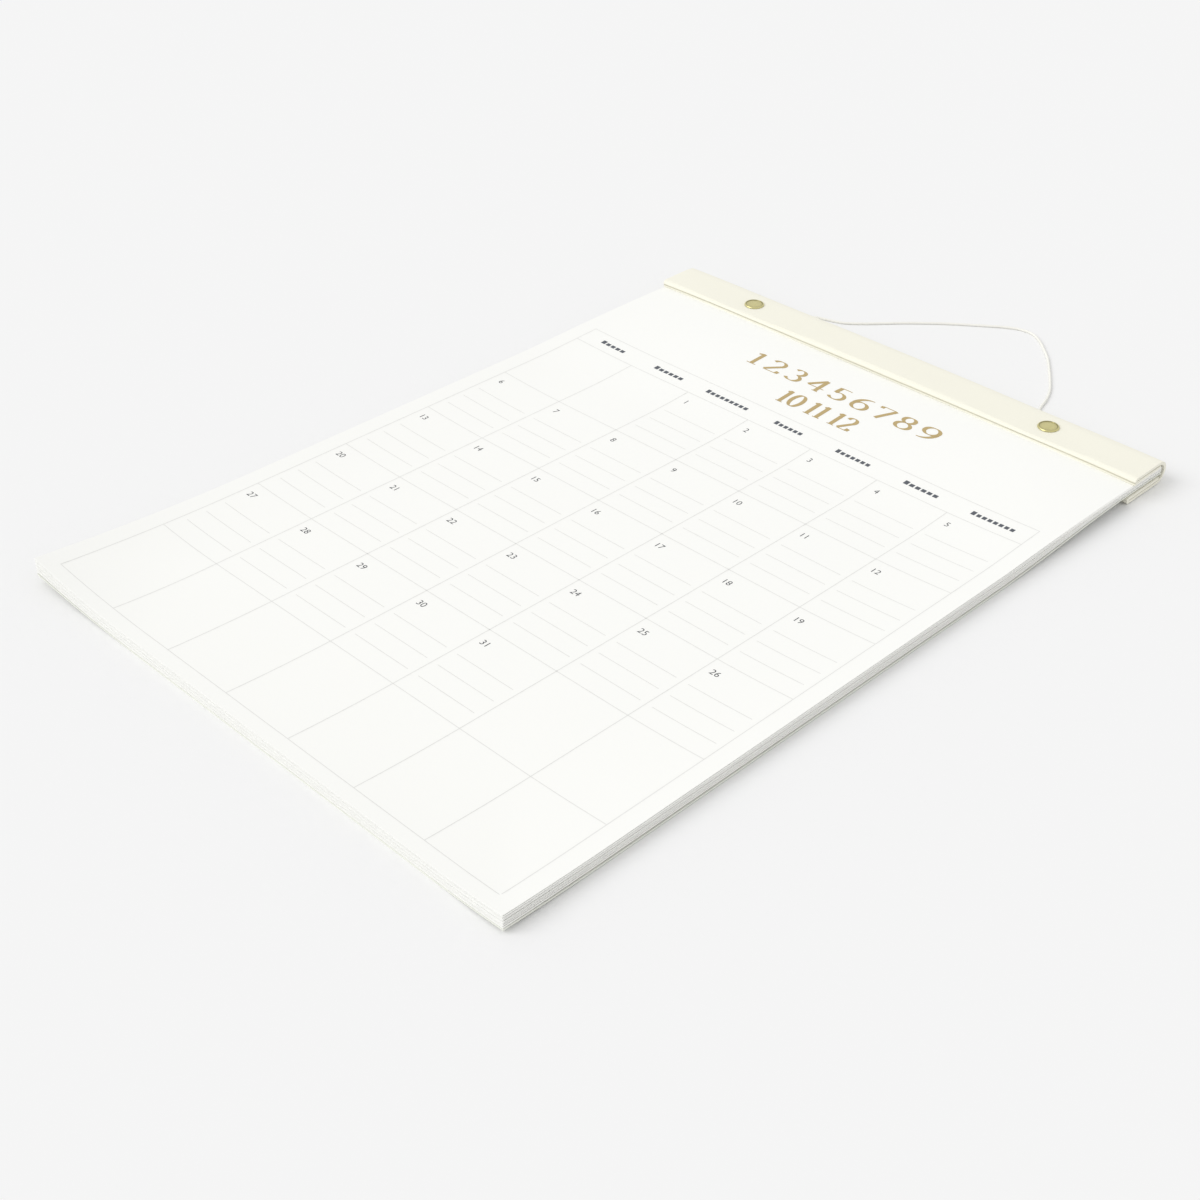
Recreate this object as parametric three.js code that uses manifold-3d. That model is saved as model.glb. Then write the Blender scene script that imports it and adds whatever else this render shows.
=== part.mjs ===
// A monthly wall calendar on its hanging strip, lying face up as it does on a table.
// Millimetres. X runs across the sheets, Y up the sheets to the strip, Z up off the table.
// The origin is on the table, under the middle of the calendar.

import * as THREE from "three";
import { mergeVertices } from "three/addons/utils/BufferGeometryUtils.js";
import Module from "manifold-3d";

const wasm = await Module();
wasm.setup();

// Overall size and fit
const sheetWidth = 297;
const overallLength = 420;
const clearance = 0.3;

// Pad of sheets: each pitch is one sheet with the air under it
const sheetCount = 13;
const loosePitch = 0.3;
const pressedPitch = 0.22;
const edgeFan = 0.11;
const edgeFanReach = 60;
const sheetStagger = 0.5;
const pressedFrom = 300;

// Backing card under the pad
const cardThickness = 0.7;
const cardParting = 0.55;

// How the free corners and sides stand up off the table
const leftCornerLift = 3.4;
const leftCornerCurl = 1.9;
const leftCornerReach = 80;
const rightCornerLift = 1.4;
const rightCornerReach = 40;
const sideLift = 0.25;
const sideReach = 40;
const climbLength = 100;

// Folded cloth strip: a band with both edges hemmed in, so that each leaf is double
const stripOverhang = 0.5;
const frontLeafDepth = 27.7;
const backLeafDepth = 32.4;
const leafThickness = 3.6;
const leafPressed = 2.4;
const hemSlit = 0.3;
const spineDepth = 6;
const hemReturnStop = 0.8;
const pinchReach = 40;
const endDroop = 0.9;

// Double cap rivets
const rivetSpacing = 186.8;
const rivetFromTop = 15.4;
const capDiameter = 10.8;
const capHeight = 0.9;
const rearCapHeight = 0.8;
const capEdgeRadius = 0.4;
const postDiameter = 2.6;
const socketWall = 0.6;
const socketShare = 0.8;

// Hanging cord
const cordDiameter = 1.3;
const knotDiameter = 2.2;
const knotFromRivet = 7.2;

// Printed month grid on the top sheet, from the foot margin up to the title's bare band
const columns = 7;
const weeks = 6;
const gridSideMargin = 9.1;
const gridFootMargin = 7.1;
const headingHeight = 14;
const titleBand = 62.2;
const lineWidth = 0.5;
const inkThickness = 0.12;
const headingBarHeight = 1.4;
const headingBarWidths = [16, 19, 27, 17, 20, 19, 23];

// Printed title: two centred rows of upright strokes on a rule. A row's height, and how far up
// its middle stands, are shares of the title's band.
const titleRows = {
  upper: { strokes: 9, width: 118, heightShare: 0.193, middleShare: 0.547 },
  lower: { strokes: 6, width: 46, heightShare: 0.193, middleShare: 0.241 },
};
const titleStrokeShare = 0.45;
const titleRule = 1;

// Facets round the turned pieces and along the long ones
const roundSides = 18;
const cordSides = 8;
const cordSteps = 76;
const stripSteps = 16;

// Sizes that follow from the ones above
const halfWidth = sheetWidth / 2;
const halfStrip = halfWidth + stripOverhang;
const rivetX = rivetSpacing / 2;
const rivetY = overallLength - rivetFromTop;
const frontHemY = overallLength - frontLeafDepth;
const backHemY = overallLength - backLeafDepth;
const spineStartY = overallLength - spineDepth;
const sheetTopY = overallLength - spineDepth / 2;
const climbEndY = backHemY - 2;
const capRadius = capDiameter / 2;
const postRadius = postDiameter / 2;
const socketInner = postRadius + clearance;
const socketOuter = socketInner + socketWall;
const holeRadius = socketOuter + clearance;
const cordRadius = cordDiameter / 2;
const knotRadius = knotDiameter / 2;

// Levels of the clamped stack at the rivets, from the table up
const backLeafLift = rearCapHeight + cordDiameter + 2 * clearance;
const cardClampLevel = backLeafLift + leafPressed + clearance;
const padClampLevel = cardClampLevel + cardThickness + clearance;
const frontLeafClampLevel = padClampLevel + sheetCount * pressedPitch + clearance;
const capClampLevel = frontLeafClampLevel + leafPressed + clearance;
const eyeLevel = rearCapHeight + clearance + cordRadius;
const punchLength = 4 * capClampLevel;

function smooth(t) {
  const s = THREE.MathUtils.clamp(t, 0, 1);
  return s * s * (3 - 2 * s);
}

// One at the start of a reach and nothing past its end, with a soft landing.
function fade(distance, reach) {
  return Math.max(0, 1 - distance / reach) ** 2;
}

// Height that the clamped card and pad keep inside the strip, lower past the rivets.
function clampDroop(x) {
  const past = Math.max(0, Math.abs(x) - rivetX) / (halfWidth - rivetX);
  return endDroop * past ** 2;
}

function cardUnderside(x, y) {
  const fromLeft = halfWidth + x;
  const fromRight = halfWidth - x;
  const side = sideLift * fade(Math.min(fromLeft, fromRight), sideReach);
  const leftCorner = leftCornerLift * fade(fromLeft + 0.7 * y, leftCornerReach);
  const rightCorner = rightCornerLift * fade(fromRight + 0.7 * y, rightCornerReach);
  const climb = smooth((y - climbEndY + climbLength) / climbLength);
  return (side + leftCorner + rightCorner) * (1 - climb) + (cardClampLevel - clampDroop(x)) * climb;
}

// How far a point of the pad is held down by the strip, from 0 to 1.
function held(y) {
  return smooth((y - pressedFrom) / (frontHemY - pressedFrom));
}

// How near a point is to a free edge, from 0 to 1.
function edgeShare(x, y) {
  return fade(Math.min(halfWidth - Math.abs(x), y), edgeFanReach);
}

function padUnderside(x, y) {
  const parting = cardParting * edgeShare(x, y) * (1 - held(y));
  const curl = leftCornerCurl * fade(halfWidth + x + 0.7 * y, leftCornerReach);
  return cardUnderside(x, y) + cardThickness + clearance + parting + curl;
}

function sheetPitch(x, y) {
  const free = loosePitch + edgeFan * edgeShare(x, y);
  return THREE.MathUtils.lerp(free, pressedPitch, held(y));
}

const columnWidth = (sheetWidth - 2 * gridSideMargin) / columns;
const weekHeight = (frontHemY - titleBand - headingHeight - gridFootMargin) / weeks;
const gridTopY = gridFootMargin + weeks * weekHeight;
const headingTopY = gridTopY + headingHeight;
const columnX = (column) => -halfWidth + gridSideMargin + column * columnWidth;
const weekY = (week) => gridFootMargin + (weeks - week) * weekHeight;

// Lines that the sheets' facets follow: the printed columns and weeks, with a closer one
// where the sheets curl at the sides and the foot and climb to the strip.
const columnStops = [0, 0.5];
for (let column = 1; column < columns; column++) {
  columnStops.push(column);
}
columnStops.push(columns - 0.5, columns);
const weekStops = [weeks, weeks - 0.5];
for (let week = weeks - 1; week > 0; week--) {
  weekStops.push(week);
}
weekStops.push(0.5, 0);
const titleSpan = climbEndY - headingTopY;
const facetX = [-halfWidth, ...columnStops.map(columnX), halfWidth];
const facetY = [
  0,
  ...weekStops.map(weekY),
  headingTopY,
  headingTopY + titleSpan / 3,
  headingTopY + (titleSpan * 2) / 3,
  climbEndY,
  sheetTopY,
];

function solidFrom(positions, triangles) {
  const geometry = new THREE.BufferGeometry();
  geometry.setAttribute("position", new THREE.Float32BufferAttribute(positions, 3));
  geometry.setIndex(triangles);
  geometry.computeVertexNormals();
  return geometry;
}

// Two triangles between points a, b of one row and d, c of the next, anticlockwise from outside.
function addQuad(triangles, a, b, c, d) {
  triangles.push(a, b, c, a, c, d);
}

// A stack of thin rectangular sheets, fused into one solid. Each layer gives its outline, as
// left, right, foot and head, and the height of its lower and upper face over any point.
function stackSolid(layers) {
  const across = facetX.length;
  const up = facetY.length;
  const positions = [];
  const triangles = [];
  const clampX = (layer, i) => THREE.MathUtils.clamp(facetX[i], layer.left, layer.right);
  const clampY = (layer, j) => THREE.MathUtils.clamp(facetY[j], layer.foot, layer.head);

  function addPoint(layer, i, j, height) {
    const x = clampX(layer, i);
    const y = clampY(layer, j);
    positions.push(x, y, height(x, y));
    return positions.length / 3 - 1;
  }

  function addFace(layer, height) {
    const rows = [];
    for (let j = 0; j < up; j++) {
      rows.push(facetX.map((_, i) => addPoint(layer, i, j, height)));
    }
    return rows;
  }

  // The outline of a face, anticlockwise seen from above.
  function outline(pick) {
    const ring = [];
    for (let i = 0; i < across - 1; i++) ring.push(pick(i, 0));
    for (let j = 0; j < up - 1; j++) ring.push(pick(across - 1, j));
    for (let i = across - 1; i > 0; i--) ring.push(pick(i, up - 1));
    for (let j = up - 1; j > 0; j--) ring.push(pick(0, j));
    return ring;
  }

  function joinRings(lower, upper) {
    for (let k = 0; k < lower.length; k++) {
      const next = (k + 1) % lower.length;
      addQuad(triangles, lower[k], lower[next], upper[next], upper[k]);
    }
  }

  const first = layers[0];
  const last = layers[layers.length - 1];
  const bottom = addFace(first, first.lower);
  const top = addFace(last, last.upper);
  for (let j = 0; j < up - 1; j++) {
    for (let i = 0; i < across - 1; i++) {
      addQuad(triangles, top[j][i], top[j][i + 1], top[j + 1][i + 1], top[j + 1][i]);
      addQuad(triangles, bottom[j][i], bottom[j + 1][i], bottom[j + 1][i + 1], bottom[j][i + 1]);
    }
  }
  let below = outline((i, j) => bottom[j][i]);
  layers.forEach((layer, k) => {
    if (k > 0) {
      const lower = outline((i, j) => addPoint(layer, i, j, layer.lower));
      joinRings(below, lower);
      below = lower;
    }
    const upper = k === layers.length - 1
      ? outline((i, j) => top[j][i])
      : outline((i, j) => addPoint(layer, i, j, layer.upper));
    joinRings(below, upper);
    below = upper;
  });
  return solidFrom(positions, triangles);
}

function makePad() {
  const layers = [];
  for (let k = 0; k < sheetCount; k++) {
    const sideways = sheetStagger * Math.sin(2.4 * k) * 0.5;
    layers.push({
      left: -halfWidth + sheetStagger * 0.5 + sideways,
      right: halfWidth - sheetStagger * 0.5 + sideways,
      foot: sheetStagger * (0.5 + 0.5 * Math.cos(1.7 * k)),
      head: sheetTopY,
      lower: (x, y) => padUnderside(x, y) + k * sheetPitch(x, y),
      upper: (x, y) => padUnderside(x, y) + (k + 1) * sheetPitch(x, y),
    });
  }
  return stackSolid(layers);
}

function makeCard() {
  return stackSolid([{
    left: -halfWidth,
    right: halfWidth,
    foot: 0,
    head: sheetTopY,
    lower: cardUnderside,
    upper: (x, y) => cardUnderside(x, y) + cardThickness,
  }]);
}

// How hard the rivets pinch the strip at x, from 0 to 1.
function pinch(x) {
  return Math.exp(-(((Math.abs(x) - rivetX) / pinchReach) ** 2));
}

// One section of the strip at x, as points (y, z): the band's outer face, then its inner face.
function stripSection(x) {
  const leaf = THREE.MathUtils.lerp(leafThickness, leafPressed, pinch(x));
  const cloth = (leaf - hemSlit) / 2;
  const backLow = backLeafLift * pinch(x);
  const frontLow = frontLeafClampLevel - clampDroop(x);
  const frontHigh = frontLow + leaf;
  const noseTurn = (leaf - cloth) / 2;
  const spineTurn = (frontHigh - backLow - cloth) / 2;
  const spineMiddle = (frontHigh + backLow) / 2;
  const returnY = spineStartY + hemReturnStop;
  const path = [];

  // Each point of the band's middle line, with the way its outer face looks.
  const add = (y, z, outY, outZ) => path.push({ y, z, outY, outZ });
  function addTurn(centreY, centreZ, radiusY, radiusZ, from, to, steps) {
    for (let k = 0; k <= steps; k++) {
      const turn = THREE.MathUtils.lerp(from, to, k / steps);
      const out = new THREE.Vector2(Math.cos(turn) / radiusY, Math.sin(turn) / radiusZ).normalize();
      add(centreY + radiusY * Math.cos(turn), centreZ + radiusZ * Math.sin(turn), out.x, out.y);
    }
  }

  const half = Math.PI / 2;
  add(returnY, frontLow + cloth / 2, 0, -1);
  addTurn(frontHemY + leaf / 2, frontLow + leaf / 2, noseTurn, noseTurn, -half, -3 * half, 6);
  add(rivetY, frontHigh - cloth / 2, 0, 1);
  addTurn(spineStartY, spineMiddle, spineDepth - cloth / 2, spineTurn, half, -half, 10);
  add(rivetY, backLow + cloth / 2, 0, -1);
  addTurn(backHemY + leaf / 2, backLow + leaf / 2, noseTurn, noseTurn, -half, -3 * half, 6);
  add(returnY, backLow + leaf - cloth / 2, 0, 1);

  const face = (sign) => path.map((point) => [
    point.y + (sign * point.outY * cloth) / 2,
    point.z + (sign * point.outZ * cloth) / 2,
  ]);
  return [...face(1), ...face(-1).reverse()];
}

function makeStrip() {
  const stations = [];
  const steps = stripSteps;
  for (let k = 0; k <= steps; k++) {
    stations.push(THREE.MathUtils.lerp(-halfStrip, halfStrip, k / steps));
  }
  const rings = stations.map(stripSection);
  const points = rings[0].length;
  const positions = rings.flatMap((ring, k) => ring.flatMap(([y, z]) => [stations[k], y, z]));
  const triangles = [];
  for (let k = 0; k < steps; k++) {
    for (let i = 0; i < points; i++) {
      const next = (i + 1) % points;
      const here = k * points;
      const beyond = here + points;
      addQuad(triangles, here + i, beyond + i, beyond + next, here + next);
    }
  }
  for (const end of [0, steps]) {
    const contour = rings[end].map(([y, z]) => new THREE.Vector2(y, z));
    const faces = THREE.ShapeUtils.triangulateShape(contour, []);
    const facesArea = faces
      .map((corners) => THREE.ShapeUtils.area(corners.map((corner) => contour[corner])))
      .reduce((sum, area) => sum + area, 0);
    const turnsWithRing = Math.sign(facesArea) === Math.sign(THREE.ShapeUtils.area(contour));
    const wanted = end === 0;
    for (const corners of faces) {
      if (turnsWithRing !== wanted) corners.reverse();
      triangles.push(...corners.map((corner) => end * points + corner));
    }
  }
  return solidFrom(positions, triangles);
}

function toManifold(geometry) {
  const bare = geometry.clone();
  bare.deleteAttribute("normal");
  bare.deleteAttribute("uv");
  const merged = mergeVertices(bare, 1e-5);
  return new wasm.Manifold(new wasm.Mesh({
    numProp: 3,
    vertProperties: new Float32Array(merged.attributes.position.array),
    triVerts: new Uint32Array(merged.index.array),
  }));
}

function fromManifold(manifold) {
  const { vertProperties, triVerts } = manifold.getMesh();
  return solidFrom(Array.from(vertProperties), Array.from(triVerts));
}

// Cuts the two rivet holes through a solid, with punches that reach well past the clamped stack.
function punched(geometry) {
  let body = toManifold(geometry);
  for (const side of [-1, 1]) {
    const punch = new THREE.CylinderGeometry(holeRadius, holeRadius, punchLength, roundSides);
    punch.rotateX(Math.PI / 2);
    punch.translate(side * rivetX, rivetY, 0);
    body = body.subtract(toManifold(punch));
  }
  return fromManifold(body);
}

// Turns a profile of (radius, height) points about the Z axis.
function turned(profile) {
  const points = profile.map(([r, z]) => new THREE.Vector2(r, z));
  const geometry = new THREE.LatheGeometry(points, roundSides);
  geometry.rotateX(Math.PI / 2);
  return geometry;
}

// The rounded edge of a cap between two heights, from its lower face round to its upper face.
function capEdge(low, high) {
  const points = [];
  const middle = (low + high) / 2;
  const steps = 3;
  for (let k = 0; k <= steps; k++) {
    const turn = -Math.PI / 2 + (Math.PI * k) / steps;
    const rise = ((high - low) / 2) * Math.sin(turn);
    points.push([capRadius - capEdgeRadius * (1 - Math.cos(turn)), middle + rise]);
  }
  return points;
}

function makeFrontRivet() {
  const tip = rearCapHeight + clearance;
  const seat = capClampLevel;
  return turned([
    [0, tip],
    [postRadius, tip],
    [postRadius, seat],
    ...capEdge(seat, seat + capHeight),
    [0, seat + capHeight],
  ]);
}

function makeRearRivet() {
  const rim = rearCapHeight + socketShare * (capClampLevel - rearCapHeight);
  return turned([
    [0, 0],
    ...capEdge(0, rearCapHeight),
    [socketOuter, rearCapHeight],
    [socketOuter, rim],
    [socketInner, rim],
    [socketInner, rearCapHeight],
    [0, rearCapHeight],
  ]);
}

// The cord's route from the left knot to the right one, as (x, y) with the rise of its middle
// over the table. It drops off the rear cap, passes under the strip and lies in a loose arch.
const cordRoute = [
  [-88.9, 201.8, 1.3],
  [-87.0, 205.2, 1.1],
  [-84.8, 209.6, 0.8],
  [-82.4, 215.4, 0.7],
  [-79.4, 221.2, 0.7],
  [-74.4, 225.6, 0.7],
  [-67.4, 227.8, 0.7],
  [-59.4, 231.2, 0.7],
  [-51.8, 237.8, 0.7],
  [-43.4, 247.0, 0.7],
  [-36.0, 255.0, 0.7],
  [-28.2, 262.4, 0.7],
  [-19.8, 270.0, 0.7],
  [-10.8, 277.2, 0.7],
  [-2.6, 283.4, 0.7],
  [4.8, 288.8, 0.7],
  [11.8, 292.2, 0.7],
  [19.4, 292.6, 0.7],
  [27.2, 288.2, 0.7],
  [34.2, 281.8, 0.7],
  [41.2, 274.8, 0.7],
  [48.5, 265.4, 0.7],
  [55.6, 255.6, 0.7],
  [61.8, 246.2, 0.7],
  [66.2, 236.6, 0.7],
  [69.2, 226.6, 0.7],
  [72.6, 217.6, 0.7],
  [77.4, 210.4, 0.8],
  [83.2, 204.4, 1.1],
  [87.4, 200.8, 1.3],
];

function cordCurve() {
  const points = cordRoute.map(([x, y, z]) => new THREE.Vector3(x, y + overallLength / 2, z));
  return new THREE.CatmullRomCurve3(points, false, "centripetal");
}

function makeCord() {
  const section = new THREE.Shape();
  for (let k = 0; k < cordSides; k++) {
    const turn = (2 * Math.PI * k) / cordSides;
    const corner = [cordRadius * Math.cos(turn), cordRadius * Math.sin(turn)];
    if (k === 0) section.moveTo(...corner);
    else section.lineTo(...corner);
  }
  section.closePath();
  return new THREE.ExtrudeGeometry(section, { steps: cordSteps, extrudePath: cordCurve() });
}

// The end of the cord: an eye round the rivet's socket, closed by a knot just past the rear cap.
function makeEye(side) {
  const eyeRadius = socketOuter + clearance + cordRadius;
  const wrap = new THREE.TorusGeometry(eyeRadius, cordRadius, cordSides, roundSides);
  wrap.translate(side * rivetX, rivetY, eyeLevel);
  const curve = cordCurve();
  const end = curve.getPoint(side < 0 ? 0 : 1);
  const away = new THREE.Vector3(end.x - side * rivetX, end.y - rivetY, 0).normalize();
  const centre = new THREE.Vector3(side * rivetX, rivetY, eyeLevel);
  const knotCentre = centre.clone().addScaledVector(away, knotFromRivet);
  knotCentre.setZ(knotRadius + 0.1);
  const neckFoot = centre.clone().addScaledVector(away, eyeRadius);
  const neckLength = neckFoot.distanceTo(knotCentre);
  const neck = new THREE.CylinderGeometry(cordRadius, cordRadius, neckLength, cordSides);
  const along = knotCentre.clone().sub(neckFoot).normalize();
  neck.applyQuaternion(new THREE.Quaternion().setFromUnitVectors(new THREE.Vector3(0, 1, 0), along));
  neck.translate(...neckFoot.clone().add(knotCentre).multiplyScalar(0.5).toArray());
  const knot = new THREE.SphereGeometry(knotRadius, 12, 8);
  knot.translate(...knotCentre.toArray());
  return fromManifold(toManifold(wrap).add(toManifold(neck)).add(toManifold(knot)));
}

// Height of the faceted face of the top sheet over a point.
function topSheet(x, y) {
  const padTop = (px, py) => padUnderside(px, py) + sheetCount * sheetPitch(px, py);
  const cell = (lines, at) => {
    const above = lines.findIndex((line, k) => k > 0 && at <= line + 1e-6);
    return above < 0 ? lines.length - 2 : above - 1;
  };
  const i = cell(facetX, x);
  const j = cell(facetY, y);
  const u = (x - facetX[i]) / (facetX[i + 1] - facetX[i]);
  const v = (y - facetY[j]) / (facetY[j + 1] - facetY[j]);
  const a = padTop(facetX[i], facetY[j]);
  const b = padTop(facetX[i + 1], facetY[j]);
  const c = padTop(facetX[i + 1], facetY[j + 1]);
  const d = padTop(facetX[i], facetY[j + 1]);
  return u >= v ? a + (b - a) * u + (c - b) * v : a + (d - a) * v + (c - d) * u;
}

// Thin ink over the cells of a ruled net that a test picks, following the top sheet.
function inkNet(netX, netY, inked) {
  const positions = [];
  const triangles = [];
  const index = new Map();
  function corner(i, j, level) {
    const key = `${i},${j},${level}`;
    if (!index.has(key)) {
      index.set(key, positions.length / 3);
      const foot = topSheet(netX[i], netY[j]) + clearance;
      positions.push(netX[i], netY[j], foot + level * inkThickness);
    }
    return index.get(key);
  }
  const isInked = (i, j) =>
    i >= 0 && j >= 0 && i < netX.length - 1 && j < netY.length - 1 && inked(i, j);
  for (let j = 0; j < netY.length - 1; j++) {
    for (let i = 0; i < netX.length - 1; i++) {
      if (!isInked(i, j)) continue;
      const ring = [[i, j], [i + 1, j], [i + 1, j + 1], [i, j + 1]];
      const low = ring.map(([x, y]) => corner(x, y, 0));
      const high = ring.map(([x, y]) => corner(x, y, 1));
      addQuad(triangles, high[0], high[1], high[2], high[3]);
      addQuad(triangles, low[0], low[3], low[2], low[1]);
      if (!isInked(i, j - 1)) addQuad(triangles, low[0], low[1], high[1], high[0]);
      if (!isInked(i + 1, j)) addQuad(triangles, low[1], low[2], high[2], high[1]);
      if (!isInked(i, j + 1)) addQuad(triangles, low[2], low[3], high[3], high[2]);
      if (!isInked(i - 1, j)) addQuad(triangles, low[3], low[0], high[0], high[3]);
    }
  }
  return solidFrom(positions, triangles);
}

// The ruled month grid: a frame, the columns, and a heading row with no column lines in it.
function makeGrid() {
  const half = lineWidth / 2;
  const isLine = (stop) => Number.isInteger(stop);
  const netX = columnStops.flatMap((stop) => {
    const x = columnX(stop);
    return isLine(stop) ? [x - half, x + half] : [x];
  });
  const netY = weekStops.flatMap((stop) => {
    const y = weekY(stop);
    return isLine(stop) ? [y - half, y + half] : [y];
  });
  netY.push(headingTopY - half, headingTopY + half);
  const isInkedGap = (net, k) => net[k + 1] - net[k] < 2 * lineWidth;
  const inHeading = (j) => j === netY.length - 3;
  const onFrame = (i) => i === 0 || i === netX.length - 2;
  return inkNet(netX, netY, (i, j) => {
    if (isInkedGap(netY, j) || onFrame(i)) return true;
    return isInkedGap(netX, i) && !inHeading(j);
  });
}

// A bar of ink in the middle of one heading cell.
function makeHeading(column) {
  const middleX = columnX(column + 0.5);
  const middleY = gridTopY + headingHeight / 2;
  const width = headingBarWidths[column];
  const netX = [middleX - width / 2, middleX + width / 2];
  const netY = [middleY - headingBarHeight / 2, middleY + headingBarHeight / 2];
  return inkNet(netX, netY, () => true);
}

// One row of the title: upright strokes standing on a thin rule.
function makeTitleRow({ strokes, width, heightShare, middleShare }) {
  const pitch = width / (strokes - 1 + titleStrokeShare);
  const height = heightShare * titleBand;
  const foot = headingTopY + middleShare * titleBand - height / 2;
  const netX = [];
  for (let k = 0; k < strokes; k++) {
    const left = -width / 2 + k * pitch;
    netX.push(left, left + pitch * titleStrokeShare);
  }
  const netY = [foot, foot + titleRule, foot + height];
  return inkNet(netX, netY, (i, j) => i % 2 === 0 || j === 0);
}

const finishes = {
  paper: { color: "#fbfbf6", roughness: 0.85, metalness: 0 },
  card: { color: "#f4f3ea", roughness: 0.9, metalness: 0 },
  cloth: { color: "#f1eedc", roughness: 0.95, metalness: 0 },
  brass: { color: "#b9ac72", roughness: 0.32, metalness: 1 },
  cord: { color: "#ece6cf", roughness: 0.95, metalness: 0 },
  greyInk: { color: "#8d9096", roughness: 0.8, metalness: 0 },
  darkInk: { color: "#3d4147", roughness: 0.8, metalness: 0 },
  goldInk: { color: "#bf9a55", roughness: 0.45, metalness: 0.4 },
};

const calendar = new THREE.Group();
calendar.position.y = -overallLength / 2;

function addPiece(name, geometry, finish, x = 0, y = 0) {
  const piece = new THREE.Mesh(geometry, new THREE.MeshStandardMaterial(finishes[finish]));
  piece.name = name;
  piece.position.set(x, y, 0);
  calendar.add(piece);
}

addPiece("backing_card", punched(makeCard()), "card");
addPiece("sheet_pad", punched(makePad()), "paper");
addPiece("hanging_strip", punched(makeStrip()), "cloth");
for (const [side, word] of [[-1, "left"], [1, "right"]]) {
  addPiece(`rivet_cap_${word}`, makeFrontRivet(), "brass", side * rivetX, rivetY);
  addPiece(`rivet_socket_${word}`, makeRearRivet(), "brass", side * rivetX, rivetY);
  addPiece(`cord_eye_${word}`, makeEye(side), "cord");
}
addPiece("hanging_cord", makeCord(), "cord");
addPiece("printed_grid", makeGrid(), "greyInk");
for (let column = 0; column < columns; column++) {
  addPiece(`printed_heading_${column + 1}`, makeHeading(column), "darkInk");
}
for (const [word, row] of Object.entries(titleRows)) {
  addPiece(`printed_title_${word}`, makeTitleRow(row), "goldInk");
}

export default calendar;
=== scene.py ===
"""A monthly wall calendar on its hanging strip, lying face up on a pale table.

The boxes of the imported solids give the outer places, and the constants repeat the sizes that the
solids are built from. X runs across the sheets, Y up the sheets to the strip and Z up off the
table. Blender works in metres; the shape functions work in the solids' millimetres, with Y counted
from the foot of the sheets.
"""

import math

import bpy
from mathutils import Matrix, Vector, noise


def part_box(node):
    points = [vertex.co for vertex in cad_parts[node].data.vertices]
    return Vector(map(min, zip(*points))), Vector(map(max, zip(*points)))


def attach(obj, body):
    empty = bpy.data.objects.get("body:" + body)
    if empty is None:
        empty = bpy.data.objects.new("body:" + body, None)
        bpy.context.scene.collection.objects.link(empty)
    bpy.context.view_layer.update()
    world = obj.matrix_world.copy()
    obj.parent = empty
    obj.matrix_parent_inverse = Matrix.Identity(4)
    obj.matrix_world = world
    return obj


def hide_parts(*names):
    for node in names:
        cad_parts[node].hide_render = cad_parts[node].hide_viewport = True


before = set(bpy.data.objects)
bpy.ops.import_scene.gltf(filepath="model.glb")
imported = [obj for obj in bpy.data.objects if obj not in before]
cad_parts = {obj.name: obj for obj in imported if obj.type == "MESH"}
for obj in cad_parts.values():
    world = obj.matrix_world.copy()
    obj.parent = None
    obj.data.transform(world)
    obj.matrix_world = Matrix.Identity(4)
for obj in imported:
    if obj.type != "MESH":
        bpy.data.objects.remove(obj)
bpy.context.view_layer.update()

bl_info = {
    "name": "Wall Calendar",
    "version": (1, 0, 0),
    "blender": (4, 5, 0),
    "location": "3D View > Sidebar > Calendar",
    "description": "Builds a wall calendar: sheets, card, cloth strip, rivets, cord and print",
    "category": "Object",
}

MM = 0.001

# Form of the solids: the boxes in metres, the lengths in millimetres
CARD_LOW, CARD_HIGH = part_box("backing_card")
_, STRIP_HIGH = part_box("hanging_strip")
CAP_LOW, CAP_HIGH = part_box("rivet_cap_right")
HALF_WIDTH = CARD_HIGH.x / MM
HALF_STRIP = STRIP_HIGH.x / MM
LENGTH = (STRIP_HIGH.y - CARD_LOW.y) / MM
FOOT_Y = CARD_LOW.y / MM
CLEARANCE = 0.3
SHEETS = 13
LOOSE_PITCH = 0.3
PRESSED_PITCH = 0.22
PRESSED_FROM = 300
EDGE_FAN = 0.11
EDGE_FAN_REACH = 60
CARD_THICKNESS = 0.7
CARD_PARTING = 0.55
LEFT_LIFT, LEFT_CURL, LEFT_REACH = 3.4, 1.9, 80
RIGHT_LIFT, RIGHT_REACH = 1.4, 40
SIDE_LIFT, SIDE_REACH = 0.25, 40
CORNER_SLANT = 0.7
CLIMB_LENGTH = 100
CLIMB_BEFORE_HEM = 2
FRONT_LEAF_DEPTH = 27.7
BACK_LEAF_DEPTH = 32.4
LEAF_THICKNESS = 3.6
LEAF_PRESSED = 2.4
SPINE_DEPTH = 6
HEM_RETURN_STOP = 0.8
PINCH_REACH = 40
END_DROOP = 0.9
RIVET_X = (CAP_LOW.x + CAP_HIGH.x) / 2 / MM
RIVET_Y = (CAP_LOW.y + CAP_HIGH.y) / 2 / MM - FOOT_Y
CAP_RADIUS = (CAP_HIGH.x - CAP_LOW.x) / 2 / MM
CAP_HEIGHT = 0.9
REAR_CAP_HEIGHT = 0.8
POST_RADIUS = 1.3
SOCKET_WALL = 0.6
SOCKET_SHARE = 0.8
CORD_DIAMETER = 1.3
KNOT_FROM_RIVET = 7.2
GRID_SIDE_MARGIN = 9.1
GRID_FOOT_MARGIN = 7.1
WEEK_HEIGHT = 51.5
HEADING_HEIGHT = 14
COLUMNS, WEEKS = 7, 6

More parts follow.
